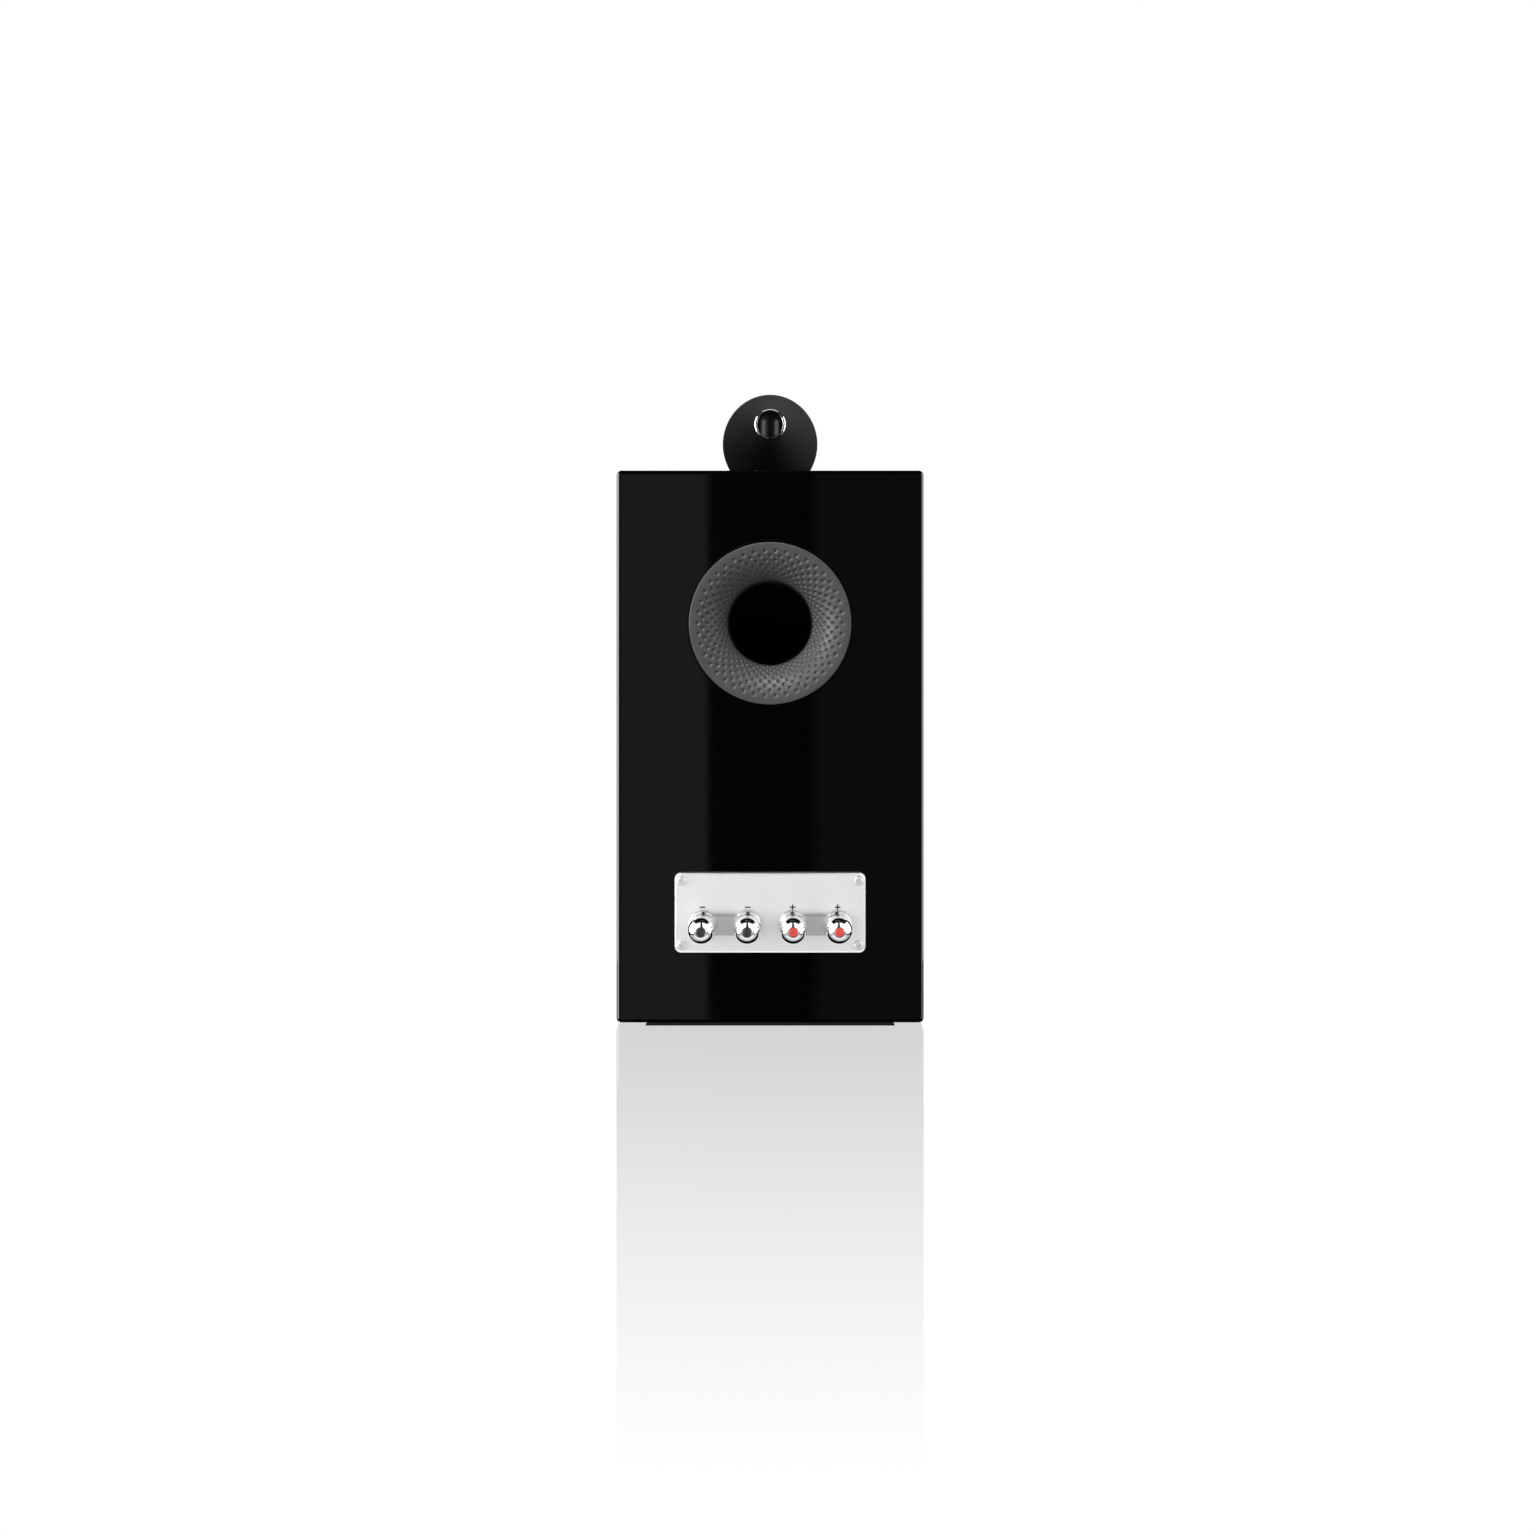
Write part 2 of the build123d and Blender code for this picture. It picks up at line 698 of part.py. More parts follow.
top_plate = ring_y(motor_radius, motor_gap_radius, top_plate_y, magnet_y, 0, woofer_z)
magnet = ring_y(motor_radius, magnet_inner_radius, magnet_y, yoke_y, 0, woofer_z)
yoke = rod_y(motor_radius, yoke_y, yoke_y + yoke_thickness, 0, woofer_z)
yoke += rod_y(pole_radius, top_plate_y, yoke_y, 0, woofer_z)
save("woofer_top_plate", top_plate)
save("woofer_magnet", magnet)
save("woofer_yoke", yoke)

plug_tip_y = top_plate_y - phase_plug_length
plug_shoulder_y = plug_tip_y + phase_plug_radius
tip_turn = math.sqrt(0.5) * phase_plug_radius
phase_plug = turned_edges(
    [
        ThreePointArc(
            (0, plug_tip_y), (tip_turn, plug_shoulder_y - tip_turn), (phase_plug_radius, plug_shoulder_y)
        ),
        Polyline(
            (phase_plug_radius, plug_shoulder_y), (phase_plug_radius, top_plate_y),
            (0, top_plate_y), (0, plug_tip_y),
        ),
    ],
    woofer_z,
)
save("woofer_phase_plug", phase_plug)

# ---------------------------------------------------------------- tweeter pod
pod_front_y = front_y + pod_front_setback
pod_tail_y = rear_y - pod_tail_offset
pod_body_end_y = pod_tail_y - tail_ring_length
pod_widest_y = rear_y - pod_widest_offset


def pod_side(y):
    """The pod's outer radius: a swelling taper from the tail, then a gentle fall to the front rim."""
    if y <= pod_widest_y:
        share = (pod_widest_y - y) / (pod_widest_y - pod_front_y)
        return pod_radius - (pod_radius - pod_front_radius) * share**2
    share = (y - pod_widest_y) / (pod_body_end_y - pod_widest_y)
    swell = (1 - share**pod_tail_power) ** (1 / pod_tail_root)
    return pod_tail_radius + (pod_radius - pod_tail_radius) * swell


front_places = [pod_front_y + (pod_widest_y - pod_front_y) * i / 4 for i in range(4)]
tail_places = [pod_widest_y + (pod_body_end_y - pod_widest_y) * i / 10 for i in range(11)]
pod_outline = Spline(*[(pod_side(y), y) for y in front_places + tail_places])
pod_solid = turned_edges(
    [
        pod_outline,
        Polyline(
            (pod_tail_radius, pod_body_end_y), (0, pod_body_end_y),
            (0, pod_front_y), (pod_front_radius, pod_front_y),
        ),
    ],
    pod_z,
)
tweeter_seat_radius = faceplate_radius + running_clearance
seat_end_y = pod_front_y + tweeter_seat_depth
bore_end_y = pod_front_y + pod_bore_length
tail_bore_y = pod_body_end_y - pod_tail_radius
pod_hollow = turned(
    [
        (0, pod_front_y),
        (tweeter_seat_radius, pod_front_y),
        (tweeter_seat_radius, seat_end_y),
        (pod_bore_radius, seat_end_y),
        (pod_bore_radius, bore_end_y),
        (pod_tail_bore_radius, tail_bore_y),
        (0, tail_bore_y),
    ],
    pod_z,
)
pod_underside = pod_z - pod_radius
stem_top_z = pod_underside + stem_pocket_depth
stem_bottom_z = ceiling_z - isolator_washer_thickness - pod_nut_thickness
pod_body = pod_solid - pod_hollow
pod_body -= rod_z(stem_radius, cabinet_top, stem_top_z, 0, stem_y)
pod_body -= rod_z(stem_bore_radius, cabinet_top, pod_z, 0, stem_y)
save("pod_body", pod_body)

ring_inner_radius = pod_tail_radius - tail_ring_width
tail_ring = ring_y(pod_tail_radius, ring_inner_radius, pod_body_end_y, pod_tail_y, 0, pod_z)
tail_ring = fillet(tail_ring.faces().sort_by(Axis.Y)[-1].edges(), tail_ring_width / 4)
save("pod_tail_ring", tail_ring)
cap_rise = tail_ring_width / 2
cap_radius = ring_inner_radius - running_clearance
cap_sphere_radius = (cap_radius**2 + cap_rise**2) / (2 * cap_rise)
cap_turn = math.asin(cap_radius / cap_sphere_radius) / 2
cap_rim_y = pod_tail_y - cap_rise
cap_mid = (
    cap_sphere_radius * math.sin(cap_turn),
    pod_tail_y - cap_sphere_radius * (1 - math.cos(cap_turn)),
)
tail_cap = turned_edges(
    [
        ThreePointArc((cap_radius, cap_rim_y), cap_mid, (0, pod_tail_y)),
        Polyline((0, pod_tail_y), (0, pod_body_end_y), (cap_radius, pod_body_end_y), (cap_radius, cap_rim_y)),
    ],
    pod_z,
)
save("pod_tail_cap", tail_cap)

save("pod_stem", ring_z(stem_radius, stem_bore_radius, stem_bottom_z, stem_top_z, 0, stem_y))
isolator = ring_z(stem_hole_radius, stem_radius, ceiling_z, cabinet_top, 0, stem_y)
saddle_top_z = cabinet_top + pod_gap + isolator_flange_height
isolator += ring_z(isolator_flange_radius, stem_radius, cabinet_top, saddle_top_z, 0, stem_y)
isolator += ring_z(
    isolator_flange_radius, stem_radius, ceiling_z - isolator_washer_thickness, ceiling_z, 0, stem_y
)
save("pod_isolator", isolator - pod_solid)
nut_top_z = ceiling_z - isolator_washer_thickness
pod_nut = hexagon_z(pod_nut_across_flats, stem_bottom_z, nut_top_z, 0, stem_y)
save("pod_nut", pod_nut - rod_z(stem_radius, stem_bottom_z, nut_top_z, 0, stem_y))

# ---------------------------------------------------------------- tweeter
faceplate_y = pod_front_y + faceplate_recess
dome_y = faceplate_y + faceplate_thickness / 2
motor_front_y = faceplate_y + faceplate_thickness
faceplate = turned(
    [
        (tweeter_surround_radius, dome_y),
        (tweeter_surround_radius, motor_front_y),
        (faceplate_radius, motor_front_y),
        (faceplate_radius, faceplate_y),
        (faceplate_radius - faceplate_thickness, faceplate_y),
    ],
    pod_z,
)
save("tweeter_faceplate", faceplate)


def cap_shell(radius, sphere_radius, thickness, rim_y):
    """A dished cap bulging towards the front from a rim at rim_y."""
    inner_sphere = sphere_radius - thickness
    centre_y = rim_y + math.sqrt(sphere_radius**2 - radius**2)
    inner_rim = math.sqrt(inner_sphere**2 - (centre_y - rim_y) ** 2)
    half_turn = math.asin(radius / sphere_radius) / 2
    outer_mid = (sphere_radius * math.sin(half_turn), centre_y - sphere_radius * math.cos(half_turn))
    inner_turn = math.asin(inner_rim / inner_sphere) / 2
    inner_mid = (inner_sphere * math.sin(inner_turn), centre_y - inner_sphere * math.cos(inner_turn))
    return turned_edges(
        [
            ThreePointArc((radius, rim_y), outer_mid, (0, centre_y - sphere_radius)),
            Line((0, centre_y - sphere_radius), (0, centre_y - inner_sphere)),
            ThreePointArc((0, centre_y - inner_sphere), inner_mid, (inner_rim, rim_y)),
            Line((inner_rim, rim_y), (radius, rim_y)),
        ],
        pod_z,
    )


dome = cap_shell(dome_radius, dome_sphere_radius, dome_thickness, dome_y)
dome += ring_y(dome_radius, dome_radius - 2 * dome_thickness, dome_y, dome_y + dome_coil_depth, 0, pod_z)
save("tweeter_dome", dome)
tweeter_surround = ring_y(
    tweeter_surround_radius - running_clearance,
    dome_radius + running_clearance,
    dome_y,
    dome_y + dome_thickness,
    0,
    pod_z,
)
save("tweeter_surround", tweeter_surround)
gap_depth = dome_coil_depth + faceplate_thickness
tweeter_motor = rod_y(tweeter_motor_radius, motor_front_y, motor_front_y + tweeter_motor_length, 0, pod_z)
tweeter_motor -= ring_y(
    dome_radius + seat_clearance,
    dome_radius - 2 * dome_thickness - seat_clearance,
    motor_front_y,
    motor_front_y + gap_depth,
    0,
    pod_z,
)
save("tweeter_motor", tweeter_motor)

grille_rim_y = pod_front_y + grille_thickness
grille_sphere_radius = (grille_radius**2 + grille_rise**2) / (2 * grille_rise)
grille = cap_shell(grille_radius, grille_sphere_radius, grille_thickness, grille_rim_y)
grille_lip = ring_y(
    grille_radius, grille_radius - 2 * grille_thickness, grille_rim_y, faceplate_y, 0, pod_z
)
save("tweeter_grille", grille + grille_lip)

# ---------------------------------------------------------------- crossover, wadding and wiring
board_rear_y = inner_rear_y - board_standoff
board_front_y = board_rear_y - board_depth
board_z = floor_z + board_standoff
board_top_z = board_z + board_thickness
board = block((-board_width / 2, board_width / 2), (board_front_y, board_rear_y), (board_z, board_top_z))
for sx in (-1, 1):
    for y in (board_front_y + board_standoff, board_rear_y - board_standoff):
        board += rod_z(standoff_radius, floor_z, board_z, sx * (board_width / 2 - board_standoff), y)
save("crossover_board", board)

coil_x = -board_width / 2 + part_gap + large_coil_radius
large_coil_y = board_front_y + board_standoff + standoff_radius + large_coil_radius
small_coil_y = large_coil_y + large_coil_radius + small_coil_radius + part_gap / 4
coil_top_z = board_top_z + coil_height
crossover_parts = [
    ring_z(large_coil_radius, large_coil_radius / 2, board_top_z, coil_top_z, coil_x, large_coil_y),
    ring_z(small_coil_radius, small_coil_radius / 2, board_top_z, coil_top_z, coil_x, small_coil_y),
]
capacitor_x = board_width / 2 - part_gap - capacitor_length / 2
for i in range(capacitor_count):
    y = board_front_y + part_gap + capacitor_radius + i * (2 * capacitor_radius + part_gap / 2)
    lying = Rot(0, 90, 0) * Cylinder(capacitor_radius, capacitor_length)
    foot = Box(capacitor_length, capacitor_radius, capacitor_radius)
    foot_z = board_top_z + capacitor_radius / 2
    capacitor = Pos(capacitor_x, y, board_top_z + capacitor_radius + part_gap / 8) * lying
    crossover_parts.append(capacitor + Pos(capacitor_x, y, foot_z) * foot)
resistor_x = capacitor_x - capacitor_length / 2 - part_gap - resistor_width
for i in range(2):
    y0 = board_front_y + part_gap + i * (capacitor_length + part_gap)
    x_range = (resistor_x - resistor_width / 2, resistor_x + resistor_width / 2)
    z_range = (board_top_z, board_top_z + resistor_height)
    crossover_parts.append(block(x_range, (y0, y0 + capacitor_length), z_range))
save("crossover_parts", *crossover_parts)

pad_y_range = (brace_rear_y + part_gap, inner_rear_y)
pad_z_range = (board_top_z + 2 * coil_height, ceiling_z)
pads = [
    block(
        sorted((side * (inner_half_width - pad_thickness), side * inner_half_width)),
        pad_y_range, pad_z_range,
    )
    for side in (-1, 1)
]
save("acoustic_wadding", *pads)


def lead(*points):
    """A round wire through the given points, with a bend at each inner one."""
    path = FilletPolyline(*points, radius=lead_bend_radius)
    section = Plane(origin=path @ 0, z_dir=path % 0) * Circle(lead_radius)
    return sweep(section, path)


leads = []
post_lead_y = stud_start_y - 2 * lead_bend_radius
for x in post_names.values():
    leads.append(lead((x, stud_start_y, post_z), (x, post_lead_y, post_z), (x, post_lead_y, board_top_z)))
riser_x = port_throat_radius + brace_rim / 2
lead_start_y = board_front_y + board_depth / 4
tweeter_lead_y = board_front_y + part_gap + capacitor_length + part_gap / 2
low_run_z = floor_z + 2 * brace_rim
chassis_foot_z = woofer_z - basket_back_radius - basket_wall
chassis_foot_y = basket_back_y + basket_wall / 2
riser_y = brace_rear_y - brace_thickness - brace_rim
for side in (-1, 1):
    x = side * woofer_lead_x
    leads.append(
        lead(
            (x, lead_start_y, board_top_z),
            (x, lead_start_y, low_run_z),
            (x, chassis_foot_y, low_run_z),
            (x, chassis_foot_y, chassis_foot_z),
        )
    )
    x = side * tweeter_lead_x
    tweeter_run_z = low_run_z - 4 * lead_radius
    leads.append(
        lead(
            (x, tweeter_lead_y, board_top_z),
            (x, tweeter_lead_y, tweeter_run_z),
            (x + riser_x, riser_y, tweeter_run_z),
            (x + riser_x, riser_y, stem_bottom_z - 2 * brace_rim),
            (x, stem_y, stem_bottom_z - brace_rim),
            (x, stem_y, stem_top_z),
        )
    )
save("internal_wiring", *leads)
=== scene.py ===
# %% [markdown]
# # A bookshelf speaker seen from behind
# This notebook dresses a finished engineering model. The model says where every part is and how it moves,
# and each cell below makes one thing that shows: first the shapes, then the finishes, then the studio.
# Every length is in metres, so a helper turns millimetres into metres where that reads better.

# %% Load the model
import math

import bpy
import numpy as np
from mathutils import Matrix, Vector


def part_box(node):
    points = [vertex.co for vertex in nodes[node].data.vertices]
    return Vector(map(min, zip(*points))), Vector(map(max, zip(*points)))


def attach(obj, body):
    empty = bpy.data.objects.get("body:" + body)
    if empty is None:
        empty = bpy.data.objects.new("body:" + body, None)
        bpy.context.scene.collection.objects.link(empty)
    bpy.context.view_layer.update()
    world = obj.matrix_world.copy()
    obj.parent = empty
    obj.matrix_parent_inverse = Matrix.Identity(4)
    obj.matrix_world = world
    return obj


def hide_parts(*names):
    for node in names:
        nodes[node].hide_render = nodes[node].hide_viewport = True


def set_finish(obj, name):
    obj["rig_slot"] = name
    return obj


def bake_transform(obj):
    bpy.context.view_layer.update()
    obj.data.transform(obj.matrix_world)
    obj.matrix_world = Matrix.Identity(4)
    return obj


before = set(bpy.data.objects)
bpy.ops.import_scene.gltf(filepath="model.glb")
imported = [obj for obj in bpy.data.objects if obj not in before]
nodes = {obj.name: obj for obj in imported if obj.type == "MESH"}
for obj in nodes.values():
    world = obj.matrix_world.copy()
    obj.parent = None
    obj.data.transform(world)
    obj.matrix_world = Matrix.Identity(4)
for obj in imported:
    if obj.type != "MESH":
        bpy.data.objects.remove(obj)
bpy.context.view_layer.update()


# %% [markdown]
# ## Places
# A part's box in the model gives its place and size, so no place is typed twice. All the round parts of
# this speaker are turned about a line along Y, which is why a centre in X and Z is the value asked for
# most.

# %% Read places from the model
def mm(value):
    return value / 1000


def centre_of(node):
    """The middle of a part's box, to a tenth of a millimetre."""
    low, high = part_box(node)
    return Vector(round(value, 4) for value in (low + high) / 2)


def span(node, axis):
    """The lowest and highest coordinate of a part along X, Y or Z."""
    low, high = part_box(node)
    return low["XYZ".index(axis)], high["XYZ".index(axis)]


front_y, rear_y = span("front_baffle", "Y")[0], span("rear_panel", "Y")[1]
bottom_z, top_z = span("rear_panel", "Z")
half_width = span("rear_panel", "X")[1]
print("cabinet", round(2 * half_width, 4), "wide,", round(top_z - bottom_z, 4), "high")


# %% [markdown]
# ## Working by hand, in code
# Operators act on whatever is selected, and a freshly loaded model is selected all over. So each new piece
# starts by deselecting everything. These few helpers do what a hand does all day: pick objects, faces or
# edges, go in and out of edit mode, join pieces, and apply a modifier.

# %% Hand tools
def deselect():
    bpy.ops.object.select_all(action="DESELECT")


def pick(*chosen):
    """Selects these objects and nothing else. The first one becomes active."""
    deselect()
    for thing in chosen:
        thing.select_set(True)
    bpy.context.view_layer.objects.active = chosen[0]


def start(name):
    """Names the primitive that was just added and puts its place into its mesh."""
    piece = bpy.context.active_object
    piece.name = piece.data.name = name
    bpy.ops.object.transform_apply(location=True, rotation=True, scale=True)
    return piece


def join(name, parts):
    """Joins pieces into one, in the order given."""
    pick(*parts)
    bpy.ops.object.join()
    return start(name)


def edit(piece):
    pick(piece)
    bpy.ops.object.mode_set(mode="EDIT")
    bpy.ops.mesh.select_mode(type="VERT")


def leave_edit():
    bpy.ops.object.mode_set(mode="OBJECT")


def select_where(piece, kind, test):
    """Selects the faces or edges whose middle passes the test. The piece is in edit mode."""
    bpy.ops.mesh.select_mode(type=kind)
    bpy.ops.mesh.select_all(action="DESELECT")
    leave_edit()
    mesh = piece.data
    for item in mesh.polygons if kind == "FACE" else mesh.edges:
        points = [mesh.vertices[i].co for i in item.vertices]
        middle = sum(points, Vector()) / len(points)
        normal = item.normal if kind == "FACE" else (points[1] - points[0]).normalized()
        item.select = bool(test(middle, normal))
    bpy.ops.object.mode_set(mode="EDIT")


def apply(piece, kind, **settings):
    """Adds a modifier, sets it and applies it."""
    pick(piece)
    modifier = piece.modifiers.new(kind.title(), kind)
    for key, value in settings.items():
        setattr(modifier, key, value)
    bpy.ops.object.modifier_apply(modifier=modifier.name)


def cut(piece, *cutters):
    """Cuts each cutter's shape out of the piece and throws the cutter away."""
    for cutter in cutters:
        apply(piece, "BOOLEAN", operation="DIFFERENCE", solver="EXACT", object=cutter)
        bpy.data.objects.remove(cutter)


def shade(piece, degrees=35.0):
    """Smooth shading that keeps real corners, with big flats held flat."""
    pick(piece)
    bpy.ops.object.shade_smooth_by_angle(angle=math.radians(degrees))
    apply(piece, "WEIGHTED_NORMAL", keep_sharp=True, weight=100)


upright = (math.pi / 2, 0, 0)  # turns a primitive that lies flat to face along Y
hair = mm(0.01)  # how near counts as being at a place


def box_piece(name, low, high):
    deselect()
    middle = (Vector(low) + Vector(high)) / 2
    bpy.ops.mesh.primitive_cube_add(size=1, location=middle, scale=Vector(high) - Vector(low))
    return start(name)


def rod_piece(name, radius, y0, y1, x, z, sides=96):
    """A round rod along Y."""
    deselect()
    bpy.ops.mesh.primitive_cylinder_add(
        vertices=sides, radius=radius, depth=y1 - y0,
        location=(x, (y0 + y1) / 2, z), rotation=upright,
    )
    return start(name)


def post_piece(name, radius, depth, y, z):
    """An upright rod on the speaker's middle plane."""
    deselect()
    bpy.ops.mesh.primitive_cylinder_add(vertices=64, radius=radius, depth=depth, location=(0, y, z))
    return start(name)


# %% [markdown]
# ## The lathe
# Knobs, rings, the port and the pod are turned parts. On a lathe the tool follows an outline while the
# work spins, and here it is the same: one point is pulled along the outline by extruding it, and the line
# is then spun about the part's axis. Where the line ends on the axis the last points are merged, so the
# pole closes.

# %% The lathe
def arc(centre, radius, start_degrees, end_degrees, count):
    """Points (radius, y) on a circle's arc. 0 degrees points outwards and 90 points to +Y."""
    sweep = end_degrees - start_degrees
    turns = [math.radians(start_degrees + sweep * i / count) for i in range(count + 1)]
    return [(centre[0] + radius * math.cos(t), centre[1] + radius * math.sin(t)) for t in turns]


def lathe(name, outline, x, z, steps=96, closed=True, sweep=360.0):
    """Spins an outline of (radius, y) points about the line along Y through x and z."""
    deselect()
    first, rest = outline[0], outline[1:]
    bpy.ops.mesh.primitive_plane_add(size=mm(1), location=(x + first[0], first[1], z))
    piece = start(name)
    edit(piece)
    bpy.ops.mesh.select_all(action="SELECT")
    bpy.ops.mesh.merge(type="CENTER")
    last = first
    for point in rest + ([first] if closed else []):
        move = (point[0] - last[0], point[1] - last[1], 0)
        bpy.ops.mesh.extrude_region_move(TRANSFORM_OT_translate={"value": move})
        last = point
    bpy.ops.mesh.select_all(action="SELECT")
    bpy.ops.mesh.spin(steps=steps, angle=math.radians(sweep), center=(x, 0, z), axis=(0, 1, 0))
    bpy.ops.mesh.select_all(action="SELECT")
    bpy.ops.mesh.remove_doubles(threshold=mm(0.002))
    bpy.ops.mesh.normals_make_consistent(inside=False)
    leave_edit()
    return piece


def rounded_ring(outer, inner, y0, y1, edge, count=4):
    """The outline of a ring whose four corners are rounded by edge."""
    corners = [
        ((outer - edge, y0 + edge), -90), ((outer - edge, y1 - edge), 0),
        ((inner + edge, y1 - edge), 90), ((inner + edge, y0 + edge), 180),
    ]
    return [point for centre, turn in corners for point in arc(centre, edge, turn, turn + 90, count)]


pieces = {}


def keep(piece, body, slot, *replaced, smooth=35.0):
    """Files a finished piece: its body, its finish, and the model parts that it stands for."""
    if smooth:
        shade(piece, smooth)
    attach(piece, body)
    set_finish(piece, slot)
    if replaced:
        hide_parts(*replaced)
    pieces[piece.name] = piece
    print(piece.name, len(piece.data.polygons), "faces")
    return piece


# %% [markdown]
# ## The lacquered cabinet
# The box is fibreboard, glued up, sanded and sprayed until no joint shows. So five boards of the model
# become one skin here: a cube with every edge rounded, a cavity, and the openings for the port, the
# terminals, the bass driver and the pod's stem. Cutting comes after rounding, so the openings keep crisp
# edges.

# %% Cabinet
port = centre_of("port_flare")
woofer = centre_of("woofer_trim_ring")
plate = centre_of("terminal_plate")
stem = centre_of("pod_stem")
wall, corner_round = mm(18), mm(3)
cabinet = box_piece("lacquered_cabinet", (-half_width, front_y, bottom_z), (half_width, rear_y, top_z))
apply(cabinet, "BEVEL", width=corner_round, segments=6, limit_method="NONE")
inner_front, inner_rear = span("top_panel", "Y")
flare_inner_y, flare_face_y = span("port_flare", "Y")
flange_thickness = mm(2.3)
flange_back_y = flare_face_y - flange_thickness
port_hole_radius, rebate_radius, lip = mm(46.3), mm(51.5), mm(0.5)
rebate_outline = [(0, flange_back_y), (rebate_radius, flange_back_y)]
rebate_outline += [(rebate_radius, rear_y - lip), (rebate_radius + lip, rear_y)]
rebate_outline += [(rebate_radius + lip, rear_y + wall), (0, rear_y + wall)]
driver_hole_radius, driver_rebate_radius = mm(72), mm(83.8)
driver_rebate_y = span("woofer_gasket", "Y")[1]
stem_hole_radius = mm(14)
plate_cut = Vector((mm(52), 0, mm(17.5)))
cut(
    cabinet,
    box_piece(
        "cavity",
        (wall - half_width, inner_front, bottom_z - wall),
        (half_width - wall, inner_rear, top_z - wall),
    ),
    rod_piece("port_hole", port_hole_radius, inner_rear - wall, rear_y + wall, port.x, port.z),
    lathe("port_rebate", rebate_outline, port.x, port.z, 160, closed=False),
    rod_piece(
        "driver_hole", driver_hole_radius, front_y - wall, inner_front + wall, woofer.x, woofer.z
    ),
    rod_piece(
        "driver_rebate", driver_rebate_radius, front_y - wall, driver_rebate_y,
        woofer.x, woofer.z, 160,
    ),
    box_piece(
        "terminal_hole",
        (plate - plate_cut) - Vector((0, 2 * wall, 0)),
        (plate + plate_cut) + Vector((0, wall, 0)),
    ),
    post_piece("stem_hole", stem_hole_radius, 3 * wall, stem.y, top_z),
)
keep(
    cabinet, "cabinet", "gloss_lacquer",
    "left_side_panel", "right_side_panel", "top_panel", "rear_panel", "front_baffle", smooth=30,
)

# %% [markdown]
# ## The dimpled port
# Air rushes in and out of the port at every bass note. The mouth is flared so that the air leaves without a
# hiss, and its wall is pitted like a golf ball for the same reason. The flare is turned on the lathe with a
# fine outline, and then each point of its curved wall is pushed in by its distance to the nearest dimple.
# There are nine rings of 42 dimples, evenly spaced along the curve and turned by half a step each time.

# %% Port flare
throat_radius, rim_radius, flange_radius = mm(27), mm(49.5), mm(50.6)
flare_curve = rim_radius - throat_radius
flare_centre = (rim_radius, flare_face_y - flare_curve)
dimples_per_ring, dimple_rings = 42, 9
dimple_pitch, dimple_radius, dimple_depth = mm(3.2), mm(1.5), mm(0.95)
first_ring = mm(4.3)
curve_rows, columns_per_dimple = 92, 18
body_radius, port_wall = mm(46), mm(3)
outer_curve = flare_curve - port_wall
body_turn = math.degrees(math.acos((rim_radius - body_radius) / outer_curve))
edge = mm(0.5)
flare_outline = arc(flare_centre, flare_curve, 180, 90, curve_rows)
flare_outline += arc((flange_radius - edge, flare_face_y - edge), edge, 90, 0, 4)
flare_outline += [(flange_radius, flange_back_y), (body_radius, flange_back_y)]
flare_outline += arc(flare_centre, outer_curve, 180 - body_turn, 180, 6)
flare_outline += [(throat_radius + port_wall, flare_inner_y), (throat_radius, flare_inner_y)]
flare_columns = dimples_per_ring * columns_per_dimple
flare = lathe("dimpled_port_flare", flare_outline, port.x, port.z, steps=flare_columns)

points = np.empty(len(flare.data.vertices) * 3)
flare.data.vertices.foreach_get("co", points)
points = points.reshape(-1, 3)
out = points[:, [0, 2]] - (port.x, port.z)
radius = np.hypot(out[:, 0], out[:, 1])
turn = np.arctan2(out[:, 1], out[:, 0])
across = np.stack([radius - flare_centre[0], points[:, 1] - flare_centre[1]])
from_centre = np.hypot(*across)
on_wall = np.abs(from_centre - flare_curve) < mm(0.05)
along = flare_curve * np.arccos(np.clip(across[1] / from_centre, -1, 1))
ring = np.clip(np.round((along - first_ring) / dimple_pitch), 0, dimple_rings - 1)
step = 2 * math.pi / dimples_per_ring
shift = np.where(ring % 2 == 0, 0, step / 2)
around = (turn - shift) - step * np.round((turn - shift) / step)
distance = np.hypot(along - first_ring - ring * dimple_pitch, around * radius)
push = dimple_depth * np.clip(1 - (distance / dimple_radius) ** 2, 0, 1) * on_wall
inward = -across / from_centre
points[:, 1] += push * inward[1]
points[:, 0] += push * inward[0] * np.cos(turn)
points[:, 2] += push * inward[0] * np.sin(turn)
flare.data.vertices.foreach_set("co", points.ravel())
flare.data.update()
keep(flare, "cabinet", "port_black", "port_flare", smooth=40)
print("deepest dimple", round(float(push.max()) * 1000, 2), "mm")

# %% [markdown]
# ## The terminal plate
# A plate like this is sawn from aluminium, brushed along its length, and its edge is cut back to bright
# metal. A plane gets its corners rounded and is pulled up to its thickness, the outer edge is bevelled, and
# the holes are cut last.

# %% Terminal plate
post_names = ("negative_lf", "negative_hf", "positive_lf", "positive_hf")
posts = {name: centre_of(f"knob_{name}") for name in post_names}
plate_back, plate_face = span("terminal_plate", "Y")


